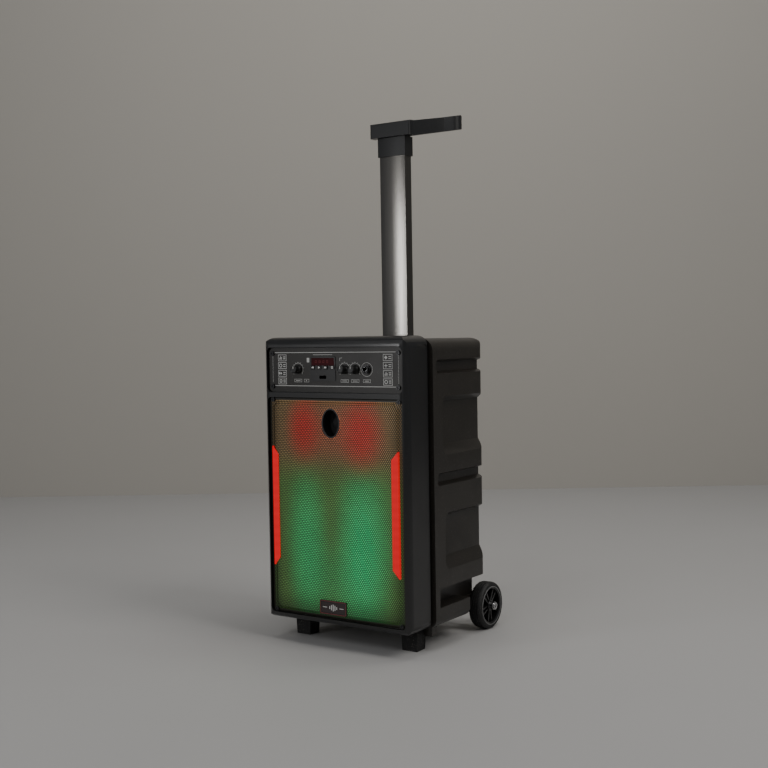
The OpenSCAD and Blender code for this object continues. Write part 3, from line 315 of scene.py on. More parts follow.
def lit_cloth(name, green, red):
    """Acoustic cloth with the coloured light from behind painted on as emission: red spots above,
    green below.
    """
    m, t, shader, place = start_material(name)
    weave = []
    for axis in ("X", "Z"):
        w = t.nodes.new("ShaderNodeTexWave")
        w.bands_direction = axis
        w.inputs["Scale"].default_value = 320
        wire(t, place, w.inputs["Vector"])
        weave.append(w.outputs["Fac"])
    thread = calc(t, "MULTIPLY", weave[0], weave[1])
    mottle = t.nodes.new("ShaderNodeTexNoise")
    mottle.inputs["Scale"].default_value = 18
    mottle.inputs["Detail"].default_value = 3
    wire(t, place, mottle.inputs["Vector"])
    parts = t.nodes.new("ShaderNodeSeparateXYZ")
    wire(t, place, parts.inputs[0])
    low = ramp(t, parts.outputs[2], SILL + 0.272, SILL + 0.205)
    dark = (0.27, 0.18, 0.085)
    dim_green = (0.13, 0.27, 0.075)
    colour = blend(t, low, dark, dim_green)
    for x, z, rx, rz, amount in ((-52, 110, 62, 200, 0.75), (56, 112, 74, 215, 1.0),
                                 (4, 60, 100, 90, 0.30)):
        mask = soft_spot(t, place, at(x, 0, z), (rx * MM, rz * MM))
        mask = calc(t, "MULTIPLY", calc(t, "MULTIPLY", mask, low), amount, clamp=True)
        colour = blend(t, mask, colour, green)
    for x, z, rx, rz, amount in ((-56, 303, 52, 78, 1.0), (56, 298, 58, 88, 1.0),
                                 (0, 300, 120, 70, 0.35)):
        mask = soft_spot(t, place, at(x, 0, z), (rx * MM, rz * MM))
        colour = blend(t, calc(t, "MULTIPLY", mask, amount), colour, red)
    shade = calc(t, "ADD", 0.62, calc(t, "MULTIPLY", thread, 0.5))
    # Painted shade: the glow dims towards the window's sides and its foot.
    sides = ramp(t, calc(t, "ABSOLUTE", parts.outputs[0]), HALF, HALF - 0.030, 0.30)
    foot = ramp(t, parts.outputs[2], SILL, SILL + 0.045, 0.35)
    shade = calc(t, "MULTIPLY", shade, calc(t, "MULTIPLY", sides, foot))
    shade = calc(t, "MULTIPLY", shade,
                 calc(t, "ADD", 0.8, calc(t, "MULTIPLY", mottle.outputs[0], 0.4)))
    shaded = blend(t, 1.0, colour, shade_to_colour(t, shade), "MULTIPLY")
    wire(t, blend(t, 0.75, shaded, (0.02, 0.02, 0.02)), shader.inputs["Base Color"])
    # Painted light: the spot colours glow as emission, standing in for the lamps behind the cloth.
    wire(t, shaded, shader.inputs["Emission Color"])
    shader.inputs["Emission Strength"].default_value = 1.25
    shader.inputs["Roughness"].default_value = 0.9
    add_bump(t, shader, thread, 0.0002)
    return m


def shade_to_colour(t, value):
    n = t.nodes.new("ShaderNodeCombineColor")
    for s in n.inputs:
        wire(t, value, s)
    return n.outputs[0]


def lit_plastic(name, colour, strength, rough):
    """Translucent plastic with its inner light painted on as emission, in painted bands a little
    brighter over each light.
    """
    painted_band_depth = 0.06
    m, t, shader, place = start_material(name, specular=0.25)
    # Painted light: these bands brighten the colour and the glow over each light inside.
    painted_light_bands = t.nodes.new("ShaderNodeTexWave")
    painted_light_bands.bands_direction = "Z"
    painted_light_bands.inputs["Scale"].default_value = 22
    painted_light_bands.inputs["Distortion"].default_value = 0.5
    wire(t, place, painted_light_bands.inputs["Vector"])
    fine = t.nodes.new("ShaderNodeTexNoise")
    fine.inputs["Scale"].default_value = 600
    wire(t, place, fine.inputs["Vector"])
    shade = calc(t, "ADD", 1.0 - painted_band_depth, calc(t, "MULTIPLY", painted_light_bands.outputs["Fac"], painted_band_depth))
    shaded = blend(t, 1.0, colour, shade_to_colour(t, shade), "MULTIPLY")
    wire(t, blend(t, 0.8, shaded, (0, 0, 0)), shader.inputs["Base Color"])
    wire(t, shaded, shader.inputs["Emission Color"])
    shader.inputs["Emission Strength"].default_value = strength
    shader.inputs["Roughness"].default_value = rough
    add_bump(t, shader, fine.outputs[0], 0.00005, 0.3)
    return m


def circuit_board(name, colour):
    """Solder resist with copper tracks just visible under it."""
    m, t, shader, place = start_material(name, coat=0.4)
    tracks = t.nodes.new("ShaderNodeTexBrick")
    tracks.inputs["Scale"].default_value = 260
    tracks.inputs["Mortar Size"].default_value = 0.03
    tracks.inputs["Color1"].default_value = (*colour, 1)
    tracks.inputs["Color2"].default_value = (*[c * 0.8 for c in colour], 1)
    tracks.inputs["Mortar"].default_value = (*[c * 1.7 for c in colour], 1)
    turn = t.nodes.new("ShaderNodeMapping")
    turn.inputs["Rotation"].default_value = (math.pi / 2, 0, 0)
    wire(t, place, turn.inputs["Vector"])
    wire(t, turn.outputs[0], tracks.inputs["Vector"])
    wire(t, tracks.outputs["Color"], shader.inputs["Base Color"])
    shader.inputs["Roughness"].default_value = 0.35
    add_bump(t, shader, tracks.outputs["Fac"], 0.00005)
    return m


# ---------------------------------------------------------------- meshes


def piece(name, verts, faces, material, body="cabinet", smooth=True, stands_for=(),
          recalc=True, angle=35):
    """A piece from plain vertices and faces, with its doubles merged."""
    mesh = bpy.data.meshes.new(name)
    mesh.from_pydata([tuple(v) for v in verts], [], faces)
    bm = bmesh.new()
    bm.from_mesh(mesh)
    bmesh.ops.remove_doubles(bm, verts=bm.verts, dist=1e-7)
    if recalc:
        bmesh.ops.recalc_face_normals(bm, faces=bm.faces)
    bm.to_mesh(mesh)
    bm.free()
    return settle(name, mesh, material, body, smooth, stands_for, angle=angle)


def settle(name, mesh, material, body, smooth=True, stands_for=(), angle=35):
    """Puts a mesh in the scene with its finish, the body it rides and the nodes it replaces."""
    obj = bpy.data.objects.new(name, mesh)
    bpy.context.scene.collection.objects.link(obj)
    mesh.materials.clear()
    mesh.materials.append(materials[material])
    if smooth:
        mesh.shade_smooth()
        mesh.set_sharp_from_angle(angle=math.radians(angle))
    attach(obj, body)
    if stands_for:
        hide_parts(*stands_for)
    return obj


def refined(node, material, body="cabinet", edge=0.0):
    """A smooth-shaded copy of a CAD node with its doubles merged and its hard edges eased."""
    source = NODES[node].data
    bm = bmesh.new()
    bm.from_mesh(source)
    bmesh.ops.remove_doubles(bm, verts=bm.verts, dist=2e-6)
    flat = [e for e in bm.edges if e.is_manifold and e.calc_face_angle(1.0) < 0.002]
    bmesh.ops.dissolve_edges(bm, edges=flat, use_verts=True)
    mesh = bpy.data.meshes.new(node + "_finish")
    bm.to_mesh(mesh)
    bm.free()
    obj = settle(node + "_finish", mesh, material, body, stands_for=(node,))
    if edge > 0:
        b = obj.modifiers.new("Eased edges", "BEVEL")
        b.width = edge
        b.segments = 2
        b.limit_method = "ANGLE"
        b.angle_limit = math.radians(40)
    w = obj.modifiers.new("Even normals", "WEIGHTED_NORMAL")
    w.keep_sharp = True
    return obj


def dress(material, *names):
    """Gives CAD nodes a finish on their own material slots."""
    for n in names:
        o = NODES[n]
        if not o.data.materials:
            o.data.materials.append(None)
        for s in o.material_slots:
            s.material = materials[material]


def lathe(profile, centre, axis="y", count=64, wobble=None):
    """A closed profile of (radius, depth) turned about Y or X. wobble alters its radii."""
    verts, faces = [], []
    n = len(profile)
    for k in range(count):
        a = 2 * math.pi * k / count
        for r, d in profile:
            rr = wobble(a, r, d) if wobble else r
            p = (rr * math.cos(a), rr * math.sin(a))
            if axis == "y":
                verts.append(centre + Vector((p[0], d, p[1])))
            else:
                verts.append(centre + Vector((d, p[0], p[1])))
    for k in range(count):
        for j in range(n):
            a, b = k * n + j, k * n + (j + 1) % n
            c, d = ((k + 1) % count) * n + (j + 1) % n, ((k + 1) % count) * n + j
            faces.append((a, b, c, d))
    return verts, faces


class Print:
    """Collects flat marks on a face, from front to back millimetres past its depth."""

    def __init__(self, depth, front=-0.05, back=-0.004):
        self.y0, self.y1 = depth + front, depth + back
        self.verts, self.faces = [], []

    def outline(self, points):
        base = len(self.verts)
        n = len(points)
        for y in (self.y0, self.y1):
            self.verts += [at(x, y, z) for x, z in points]
        self.faces.append(tuple(base + i for i in range(n)))
        self.faces.append(tuple(base + n + i for i in reversed(range(n))))
        for i in range(n):
            j = (i + 1) % n
            self.faces.append((base + j, base + i, base + n + i, base + n + j))

    def bar(self, x0, z0, x1, z1):
        self.outline([(x0, z0), (x1, z0), (x1, z1), (x0, z1)])

    def ring(self, x, z, r, width, a0=0, a1=360, steps=28):
        for k in range(steps):
            s, e = (math.radians(a0 + (a1 - a0) * q / steps) for q in (k, k + 1))
            self.outline([(x + rr * math.sin(a), z + rr * math.cos(a))
                          for rr, a in ((r, s), (r, e), (r - width, e), (r - width, s))])

    def frame(self, x0, z0, x1, z1, width):
        self.bar(x0, z0, x1, z0 + width)
        self.bar(x0, z1 - width, x1, z1)
        self.bar(x0, z0 + width, x0 + width, z1 - width)
        self.bar(x1 - width, z0 + width, x1, z1 - width)

    def make(self, name, material, body="cabinet"):
        return piece(name, self.verts, self.faces, material, body, smooth=False, recalc=False)


# ---------------------------------------------------------------- repeating pieces


def grid_tree():
    """Copies the piece's own mesh over a staggered field and bows the result."""
    g = bpy.data.node_groups.new("perforated_field", "GeometryNodeTree")
    socket(g, "Geometry", "Geometry")
    for name in ("Pitch", "Columns", "Rows", "Low", "Flat Half", "Step", "Bow", "Face",
                 "Oval Height", "Oval Half Width", "Oval Half Height", "Rim Half", "Rim Low",
                 "Rim High"):
        socket(g, "Float", name)
    socket(g, "Material", "Material")
    socket(g, "Geometry", "Geometry", "OUTPUT")
    i = g.nodes.new("NodeGroupInput")
    o = g.nodes.new("NodeGroupOutput")
    v = i.outputs
    rise = calc(g, "MULTIPLY", v["Pitch"], math.sqrt(3) / 2)
    grid = g.nodes.new("GeometryNodeMeshGrid")
    wire(g, v["Columns"], grid.inputs["Vertices X"])
    wire(g, v["Rows"], grid.inputs["Vertices Y"])
    wire(g, calc(g, "MULTIPLY", calc(g, "SUBTRACT", v["Columns"], 1.0), v["Pitch"]),
         grid.inputs["Size X"])
    wire(g, calc(g, "MULTIPLY", calc(g, "SUBTRACT", v["Rows"], 1.0), rise), grid.inputs["Size Y"])

    def position():
        p = g.nodes.new("GeometryNodeInputPosition")
        s = g.nodes.new("ShaderNodeSeparateXYZ")
        wire(g, p.outputs[0], s.inputs[0])
        return s.outputs

    def moved(geometry, x=None, y=None, z=None):
        s = g.nodes.new("GeometryNodeSetPosition")
        c = g.nodes.new("ShaderNodeCombineXYZ")
        for k, value in enumerate((x, y, z)):
            if value is not None:
                wire(g, value, c.inputs[k])
        wire(g, geometry, s.inputs["Geometry"])
        wire(g, c.outputs[0], s.inputs["Position"])
        return s.outputs[0]

    flat = position()
    half = calc(g, "MULTIPLY", calc(g, "MULTIPLY", calc(g, "SUBTRACT", v["Rows"], 1.0), rise), 0.5)
    row = calc(g, "ROUND", calc(g, "DIVIDE", calc(g, "ADD", flat[1], half), rise))
    odd = calc(g, "MODULO", row, 2.0)
    shift = calc(g, "MULTIPLY", calc(g, "MULTIPLY", odd, 0.5), v["Pitch"])
    field = moved(grid.outputs["Mesh"], calc(g, "ADD", flat[0], shift), None,
                  calc(g, "ADD", v["Low"], calc(g, "MULTIPLY", row, rise)))
    spot = position()
    dx = calc(g, "DIVIDE", spot[0], calc(g, "ADD", v["Oval Half Width"],
                                         calc(g, "MULTIPLY", v["Pitch"], 0.15)))
    dz = calc(g, "DIVIDE", calc(g, "SUBTRACT", spot[2], v["Oval Height"]),
              calc(g, "ADD", v["Oval Half Height"], calc(g, "MULTIPLY", v["Pitch"], 0.15)))
    inside = calc(g, "LESS_THAN", calc(g, "ADD", calc(g, "MULTIPLY", dx, dx),
                                       calc(g, "MULTIPLY", dz, dz)), 1.0)
    drop = g.nodes.new("GeometryNodeDeleteGeometry")
    wire(g, field, drop.inputs["Geometry"])
    wire(g, inside, drop.inputs["Selection"])
    put = g.nodes.new("GeometryNodeInstanceOnPoints")
    wire(g, drop.outputs[0], put.inputs["Points"])
    wire(g, v["Geometry"], put.inputs["Instance"])
    real = g.nodes.new("GeometryNodeRealizeInstances")
    wire(g, put.outputs[0], real.inputs[0])
    weld = g.nodes.new("GeometryNodeMergeByDistance")
    weld.inputs["Distance"].default_value = 2e-5
    wire(g, real.outputs[0], weld.inputs["Geometry"])
    p = position()
    dx = calc(g, "SUBTRACT", v["Rim Half"], calc(g, "ABSOLUTE", p[0]))
    dz = calc(g, "MINIMUM", calc(g, "SUBTRACT", p[2], v["Rim Low"]),
              calc(g, "SUBTRACT", v["Rim High"], p[2]))
    cut = calc(g, "MULTIPLY", calc(g, "SUBTRACT", calc(g, "ADD", dx, dz), CORNER_CUT * MM), 0.707)
    near = calc(g, "MINIMUM", calc(g, "MINIMUM", dx, dz), cut)
    run = calc(g, "DIVIDE", near, RUN * MM, clamp=True)
    lift = calc(g, "MULTIPLY", calc(g, "MULTIPLY", run, run),
                calc(g, "SUBTRACT", 3.0, calc(g, "MULTIPLY", run, 2.0)))
    u = calc(g, "DIVIDE", p[0], v["Flat Half"])
    crown = calc(g, "MULTIPLY", v["Bow"], calc(g, "SUBTRACT", 1.0, calc(g, "MULTIPLY", u, u)))
    depth = calc(g, "SUBTRACT", calc(g, "ADD", v["Face"], p[1]),
                 calc(g, "MULTIPLY", lift, calc(g, "ADD", crown, v["Step"])))
    bowed = moved(weld.outputs[0], p[0], depth, p[2])
    again = g.nodes.new("GeometryNodeRealizeInstances")
    wire(g, bowed, again.inputs[0])
    paint = g.nodes.new("GeometryNodeSetMaterial")
    wire(g, again.outputs[0], paint.inputs["Geometry"])
    wire(g, v["Material"], paint.inputs["Material"])
    wire(g, paint.outputs[0], o.inputs["Geometry"])
    return g


def hole_tile(pitch, diameter, sheet):
    """One six-sided cell of sheet with a round hole, 12 points round."""
    outer = [(pitch / math.sqrt(3) * math.cos(math.radians(60 * k + 30)),
              pitch / math.sqrt(3) * math.sin(math.radians(60 * k + 30))) for k in range(6)]
    inner = [(diameter / 2 * math.cos(math.radians(30 * k + 30)),
              diameter / 2 * math.sin(math.radians(30 * k + 30))) for k in range(12)]
    verts = [(x, 0, z) for x, z in outer] + [(x, 0, z) for x, z in inner]
    verts += [(x, sheet, z) for x, z in inner]
    faces = []
    for k in range(6):
        a, b = k, (k + 1) % 6
        c0, c1, c2 = 6 + 2 * k, 6 + 2 * k + 1, 6 + (2 * k + 2) % 12
        faces += [(a, c1, c0), (a, b, c2, c1)]
    for k in range(12):
        a, b = 6 + k, 6 + (k + 1) % 12
        faces.append((a, b, b + 12, a + 12))
    mesh = bpy.data.meshes.new("hole_tile")
    mesh.from_pydata(verts, [], faces)
    return mesh


def apply_tree(name, mesh, tree, values, material):
    """Runs a Geometry Nodes tree on a mesh and keeps the result as a plain mesh."""
    obj = bpy.data.objects.new(name, mesh)
    bpy.context.scene.collection.objects.link(obj)
    mod = obj.modifiers.new("Repeat", "NODES")
    mod.node_group = tree
    for item in tree.interface.items_tree:
        if item.item_type == "SOCKET" and item.in_out == "INPUT":
            if item.name in values:
                mod[item.identifier] = values[item.name]
            elif item.name == "Material":
                mod[item.identifier] = materials[material]
    bpy.context.view_layer.update()
    graph = bpy.context.evaluated_depsgraph_get()
    done = bpy.data.meshes.new_from_object(obj.evaluated_get(graph))
    bpy.data.objects.remove(obj)
    done.name = name
    if len(done.polygons) == 0:
        raise RuntimeError(name + " came out empty")
    return done


# ---------------------------------------------------------------- operators


def sizes():
    return bpy.context.scene.speaker_sizes


def colours():
    return bpy.context.scene.speaker_colours


class SPEAKER_OT_materials(bpy.types.Operator):
    """Makes every finish that the speaker uses"""
    bl_idname = "speaker.materials"
    bl_label = "Finishes"

    def execute(self, context):
        c = colours()
        add = materials.__setitem__
        add("frame", moulded("frame_plastic", c.frame, 0.40, 0.0006, 0.05, 0.45))
        add("cabinet", moulded("cabinet_plastic", c.cabinet, 0.40, 0.0009, 0.2, 0.1, 0.0001))
        add("panel", moulded("panel_plastic", c.panel, 0.38, 0.0005, 0.15))
        add("dark", moulded("dark_plastic", (0.010, 0.010, 0.0105), 0.36, 0.0005, 0.1, 0.2))
        add("rubber", moulded("black_rubber", (0.010, 0.010, 0.010), 0.75, 0.0012, 0.5,
                              0.0, 0.00015))
        add("tyre", moulded("tyre_rubber", (0.011, 0.011, 0.0112), 0.62, 0.0010, 0.4,
                            0.0, 0.00015))
        add("grille", moulded("grille_paint", (0.034, 0.031, 0.022), 0.42, 0.0004, 0.0,
                              0.1, 0.00004, 0.3))
        add("cone", moulded("pressed_paper", (0.02, 0.02, 0.021), 0.85, 0.0015, 0.2,
                            0.0, 0.0002))
        add("ferrite", moulded("ferrite", (0.05, 0.05, 0.052), 0.6, 0.001, 0.2, 0, 0.0001, 0.4))
        add("battery", moulded("battery_case", (0.03, 0.035, 0.05), 0.5))
        add("switch", moulded("switch_red", (0.45, 0.012, 0.01), 0.3, 0.0006, 0.1, 0.3))
        add("wire", moulded("lead_insulation", (0.38, 0.02, 0.02), 0.45))
        add("rim_line", moulded("rim_line", (0.30, 0.30, 0.30), 0.4, 0.0005, 0.2))
        add("print", moulded("white_print", c.print, 0.5, 0.0008, 0.0, 0.0, 0.00002))
        # The icon, display, digits and strip finishes glow by emission: painted light, not lamps.
        add("icon", lit_plastic("icon_white", (0.80, 0.80, 0.78), 0.45, 0.4))
        add("red_print", moulded("red_print", (0.42, 0.02, 0.03), 0.4))
        add("badge", moulded("badge_face", (0.022, 0.006, 0.007), 0.25, 0.0006, 0.1, 0.5))
        add("display", lit_plastic("display_window", (0.024, 0.004, 0.005), 1.0, 0.15))
        add("digits", lit_plastic("display_marks", (0.075, 0.007, 0.008), 0.8, 0.3))
        add("strip", lit_plastic("light_strip", c.strip, 1.0, 0.35))
        add("cloth", lit_cloth("lit_cloth", c.glow_green, c.glow_red))
        add("board", circuit_board("board_green", (0.015, 0.11, 0.04)))
        add("led_board", circuit_board("board_white", (0.62, 0.62, 0.60)))
        add("zinc", drawn_metal("zinc_plate", (0.42, 0.42, 0.43), 0.35, (1, 1, 1)))
        add("black_steel", drawn_metal("black_steel", (0.06, 0.06, 0.062), 0.3, (1, 1, 1), 0.9))
        add("nickel", drawn_metal("nickel_plate", (0.62, 0.62, 0.63), 0.22, (1, 1, 1)))
        add("steel", drawn_metal("bright_steel", (0.50, 0.51, 0.52), 0.3, (0.02, 1, 1)))
        add("aluminium", drawn_metal("mill_aluminium", (0.5, 0.51, 0.52), 0.4))
        add("guide", drawn_metal("galvanised_guide", (0.22, 0.23, 0.24), 0.45))
        add("tube", drawn_metal("tube_coat", c.tube, 0.15, (1, 1, 0.02), 0.9, 0.15))
        return {"FINISHED"}


def place_camera(scene, yaw, pitch, roll):
    """A camera at EYE that looks along yaw and down by pitch, rolled about its line of sight."""
    ahead = Vector((-math.sin(yaw) * math.cos(pitch), math.cos(yaw) * math.cos(pitch),
                    -math.sin(pitch)))
    side = ahead.cross(Vector((0, 0, 1))).normalized()
    up = side.cross(ahead)
    right = side * math.cos(roll) + up * math.sin(roll)
    top = up * math.cos(roll) - side * math.sin(roll)
    data = bpy.data.cameras.new("camera")
    data.lens = sizes().camera_lens
    data.sensor_width = 36
    data.clip_start = 0.05
    data.dof.use_dof = False
    camera = bpy.data.objects.new("camera", data)
    turn = Matrix((right, top, -ahead)).transposed().to_4x4()
    camera.matrix_world = Matrix.Translation(EYE) @ turn
    scene.collection.objects.link(camera)
    scene.camera = camera


def surface(scene, name, verts, colour, rough, scale):
    """A four-sided piece of the studio, with slow changes of tone."""
    m, t, shader, place = start_material(name)
    n = t.nodes.new("ShaderNodeTexNoise")
    n.inputs["Scale"].default_value = scale
    n.inputs["Detail"].default_value = 4
    wire(t, place, n.inputs["Vector"])
    wire(t, blend(t, calc(t, "MULTIPLY", n.outputs[0], 0.12), colour, (0.2, 0.2, 0.2)),
         shader.inputs["Base Color"])
    shader.inputs["Roughness"].default_value = rough
    shader.inputs["Specular IOR Level"].default_value = 0.2
    mesh = bpy.data.meshes.new(name)
    mesh.from_pydata(verts, [], [(0, 1, 2, 3)])
    mesh.materials.append(m)
    o = bpy.data.objects.new(name, mesh)
    scene.collection.objects.link(o)
    return t, shader


def clear_from_behind(t, shader):
    """Lets a view from behind the backdrop see through it."""
    clear = t.nodes.new("ShaderNodeBsdfTransparent")
    facing = t.nodes.new("ShaderNodeNewGeometry")
    mix = t.nodes.new("ShaderNodeMixShader")
    wire(t, facing.outputs["Backfacing"], mix.inputs[0])
    wire(t, shader.outputs[0], mix.inputs[1])
    wire(t, clear.outputs[0], mix.inputs[2])
    wire(t, mix.outputs[0], t.nodes["Material Output"].inputs["Surface"])


def lamp(scene, name, place, target, size, power, colour=(1, 1, 1)):
    d = bpy.data.lights.new(name, "AREA")
    d.shape = "RECTANGLE"
    d.size, d.size_y = size
    d.energy = power
    d.color = colour
    o = bpy.data.objects.new(name, d)
    o.location = place
    o.rotation_euler = (Vector(target) - Vector(place)).to_track_quat("-Z", "Y").to_euler()
    scene.collection.objects.link(o)


class SPEAKER_OT_stage(bpy.types.Operator):
    """Sets the floor, the backdrop, the lights and the camera"""
    bl_idname = "speaker.stage"
    bl_label = "Stage"

    def execute(self, context):
        scene = context.scene
        yaw, pitch, roll = (math.radians(a) for a in (34.249, 2.325, -0.924))
        place_camera(scene, yaw, pitch, roll)
        c = colours()
        floor = [(-6, -6, 0), (6, -6, 0), (6, 6, 0), (-6, 6, 0)]
        surface(scene, "floor", floor, c.floor, 0.6, 1.5)
        level = Vector((-math.sin(yaw), math.cos(yaw), 0))
        base = Vector((EYE.x, EYE.y, 0)) + level * 3.69
        across = Vector((math.cos(yaw), math.sin(yaw), 0)) * 5
        rise = Vector((0, 0, 4))
        wall = [base - across, base + across, base + across + rise, base - across + rise]
        clear_from_behind(*surface(scene, "backdrop", wall, c.wall, 0.9, 0.8))
        world = bpy.data.worlds.new("studio")
        world.use_nodes = True
        sky = world.node_tree.nodes["Background"]
        sky.inputs["Color"].default_value = (0.92, 0.95, 1.0, 1)
        sky.inputs["Strength"].default_value = 0.16
        scene.world = world
        lamp(scene, "key", (1.9, -0.2, 2.1), (0, 0, 0.4), (0.9, 1.2), 24, (1.0, 0.97, 0.93))
        lamp(scene, "fill", (0.35, -2.7, 2.3), (0, 0, 0.4), (1.6, 1.2), 17)
        lamp(scene, "tube_light", (-0.92, -1.95, 0.70), (0, 0.05, 0.6), (0.22, 0.5), 5.5)
        lamp(scene, "wall_wash", (0.2, 0.2, 2.6), (-0.9, 1.4, 0.9), (2.0, 0.8), 22,
             (1.0, 0.98, 0.94))
        return {"FINISHED"}


class SPEAKER_OT_shells(bpy.types.Operator):
    """Finishes the front frame, the rear cabinet and the seam between them"""
    bl_idname = "speaker.shells"
    bl_label = "Frame and cabinet"

    def execute(self, context):
        edge = sizes().edge_round
        refined("front_frame", "frame", edge=edge)
        refined("rear_cabinet", "cabinet", edge=edge)
        dress("rubber", "seam_gasket", "foot_left", "foot_right")
        dress("zinc", "cabinet_screws", "foot_screws")
        return {"FINISHED"}


def sheet_depth(x, z):
    """Depth in millimetres of the grille's front: flat rim, pressed step with cut corners, bow."""
    s = sizes()
    half = HALF / MM
    dx, dz = half - SIDE_RIM - abs(x), min(z, TOP - z) - END_RIM
    run = max(0.0, min(1.0, min(dx, dz, (dx + dz - CORNER_CUT) * 0.707) / RUN))
    lift = run * run * (3 - 2 * run)
    flat = half - BOW_INSET
    return -lift * (s.grille_step + s.grille_bow * (1 - (x / flat) ** 2)) / MM


def round_loop(half, low, high, radius, side=26, corner=5):
    """Points of a rounded upright rectangle, the same number for each size."""
    points = []
    r = max(radius, 0.01)
    for cx, cz, a0 in ((half - r, low + r, -90), (half - r, high - r, 0),
                       (-half + r, high - r, 90), (-half + r, low + r, 180)):
        for k in range(corner + 1):
            a = math.radians(a0 + 90 * k / corner)
            points.append((cx + r * math.cos(a), cz + r * math.sin(a)))
        nx, nz = {-90: (half, high - r), 0: (-half + r, high), 90: (-half, low + r),
                  180: (half - r, low)}[a0]
        sx, sz = points[-1]
        for k in range(1, side):
            points.append((sx + (nx - sx) * k / side, sz + (nz - sz) * k / side))
    return points


def grille_border():
    """The plain pressed edge round the holes, as loops of points that shrink inwards."""
    half = HALF / MM
    loops = []
    for inset, radius, depth in ((0.5, 7.5, 1.1), (0.5, 7.5, 0.3), (0.8, 7.2, 0.0),
                                 (4.6, 3.6, -0.02), (4.6, 3.6, 0.9)):
        loop = round_loop(half - inset, inset, TOP - inset, radius)
        loops.append([at(x, depth, z) for x, z in loop])
    n = len(loops[0])
    verts = [p for loop in loops for p in loop]
    faces = []
    for k in range(len(loops) - 1):
        for j in range(n):
            a, b = k * n + j, k * n + (j + 1) % n
            faces.append((a, b, b + n, a + n))
    piece("grille_border", verts, faces, "grille", stands_for=("grille",), recalc=False, angle=50)


def grille_holes(oval):
    """The perforated sheet in three pieces, with the holes left out at the oval opening."""
    s = sizes()
    tree = grid_tree()
    rise = s.hole_pitch * math.sqrt(3) / 2
    columns = int(2 * (HALF / MM - HOLE_MARGIN) * MM / s.hole_pitch)
    rows = int((TOP - 6.6) * MM / rise)
    third = rows // 3
    start = SILL + 4.0 * MM
    counts = {"lower": third, "middle": third, "upper": rows - 2 * third}
    for k, (part, count) in enumerate(counts.items()):
        values = {"Pitch": s.hole_pitch, "Columns": float(columns), "Rows": float(count),
                  "Low": start + k * third * rise, "Flat Half": HALF - BOW_INSET * MM,
                  "Step": s.grille_step, "Bow": s.grille_bow, "Face": FACE,
                  "Oval Height": 0.5 * (oval[0][2] + oval[1][2]),
                  "Oval Half Width": oval[1][0] - 0.0006,
                  "Oval Half Height": 0.5 * (oval[1][2] - oval[0][2]) - 0.0006,
                  "Rim Half": HALF - SIDE_RIM * MM, "Rim Low": SILL + END_RIM * MM,
                  "Rim High": SILL + (TOP - END_RIM) * MM}
        name = "grille_holes_" + part
        tile = hole_tile(s.hole_pitch, s.hole_diameter, s.sheet)
        mesh = apply_tree(name, tile, tree, values, "grille")
        settle(name, mesh, "grille", "cabinet", angle=50)


def grille_cloth(oval):
    """The lit cloth, one sheet that follows the steel's back, cut at the oval opening."""
    x1, z0, z1 = HALF / MM - HOLE_MARGIN, HOLE_MARGIN, TOP - HOLE_MARGIN
    columns, rows = 84, 110
    ox = oval[1][0] / MM - 1.0
    oz = (0.5 * (oval[0][2] + oval[1][2]) - SILL) / MM
    oh = 0.5 * (oval[1][2] - oval[0][2]) / MM - 1.0
    verts, faces, area = [], [], 0.0
    for j in range(rows + 1):
        for i in range(columns + 1):
            x, z = -x1 + 2 * x1 * i / columns, z0 + (z1 - z0) * j / rows
            far = math.hypot(x / ox, (z - oz) / oh)
            if 0.72 < far < 1.0:
                x, z = x / far, oz + (z - oz) / far
            verts.append(at(x, sheet_depth(x, z) + 1.05, z))
    for j in range(rows):
        for i in range(columns):
            a = j * (columns + 1) + i
            ring = (a, a + 1, a + columns + 2, a + columns + 1)
            spot = sum((verts[q] for q in ring), Vector()) / 4
            if math.hypot(spot.x / MM / ox, ((spot.z - SILL) / MM - oz) / oh) < 0.93:
                continue
            faces.append(ring)
            area += 0.5 * (verts[ring[2]] - verts[ring[0]]).cross(
                verts[ring[3]] - verts[ring[1]]).length
    cloth = piece("lit_cloth", verts, faces, "cloth", stands_for=("grille_cloth",), recalc=False)


class SPEAKER_OT_grille(bpy.types.Operator):
    """Makes the perforated grille, its pressed border and the lit cloth behind it"""
    bl_idname = "speaker.grille"
    bl_label = "Grille"

    def execute(self, context):
        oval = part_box("tweeter_bezel")
        grille_border()
        grille_holes(oval)
        grille_cloth(oval)
        refined("light_strip_left", "strip", edge=0.4 * MM)
        refined("light_strip_right", "strip", edge=0.4 * MM)
        dress("black_steel", "grille_screws")
        dress("led_board", "led_boards")
        return {"FINISHED"}


class SPEAKER_OT_badge(bpy.types.Operator):
    """Makes the plain badge: a plate with a dotted border and a row of level bars"""
    bl_idname = "speaker.badge"
    bl_label = "Badge"

    def execute(self, context):
        low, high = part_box("badge_plate")
        refined("badge_plate", "badge", edge=0.4 * MM)
        face = (low[1] - FACE) / MM
        x1, z0, z1 = high[0] / MM, (low[2] - SILL) / MM, (high[2] - SILL) / MM
        border = Print(face, -0.06)
        step = 1.6
        for k in range(int(2 * (x1 - 1.5) / step) + 1):
            x = -x1 + 1.5 + k * step
            for z in (z0 + 1.5, z1 - 1.5):
                border.ring(x, z, 0.5, 0.499, steps=8)
        for k in range(1, int((z1 - z0 - 3) / step)):
            for x in (-x1 + 1.5, x1 - 1.5):
                border.ring(x, z0 + 1.5 + k * step, 0.5, 0.499, steps=8)
        border.make("badge_border", "red_print")
        marks = Print(face + 0.6, -0.08)
        level = 0.5 * (z0 + z1)
        for k, tall in enumerate((2.2, 4.0, 5.4, 4.0, 2.2)):
            x = (k - 2) * 3.4
            marks.bar(x - 0.8, level - tall, x + 0.8, level + tall)
        marks.bar(12, level - 0.5, 20, level + 0.5)
        marks.bar(-20, level - 0.5, -12, level + 0.5)
        marks.make("badge_marks", "print")
        return {"FINISHED"}


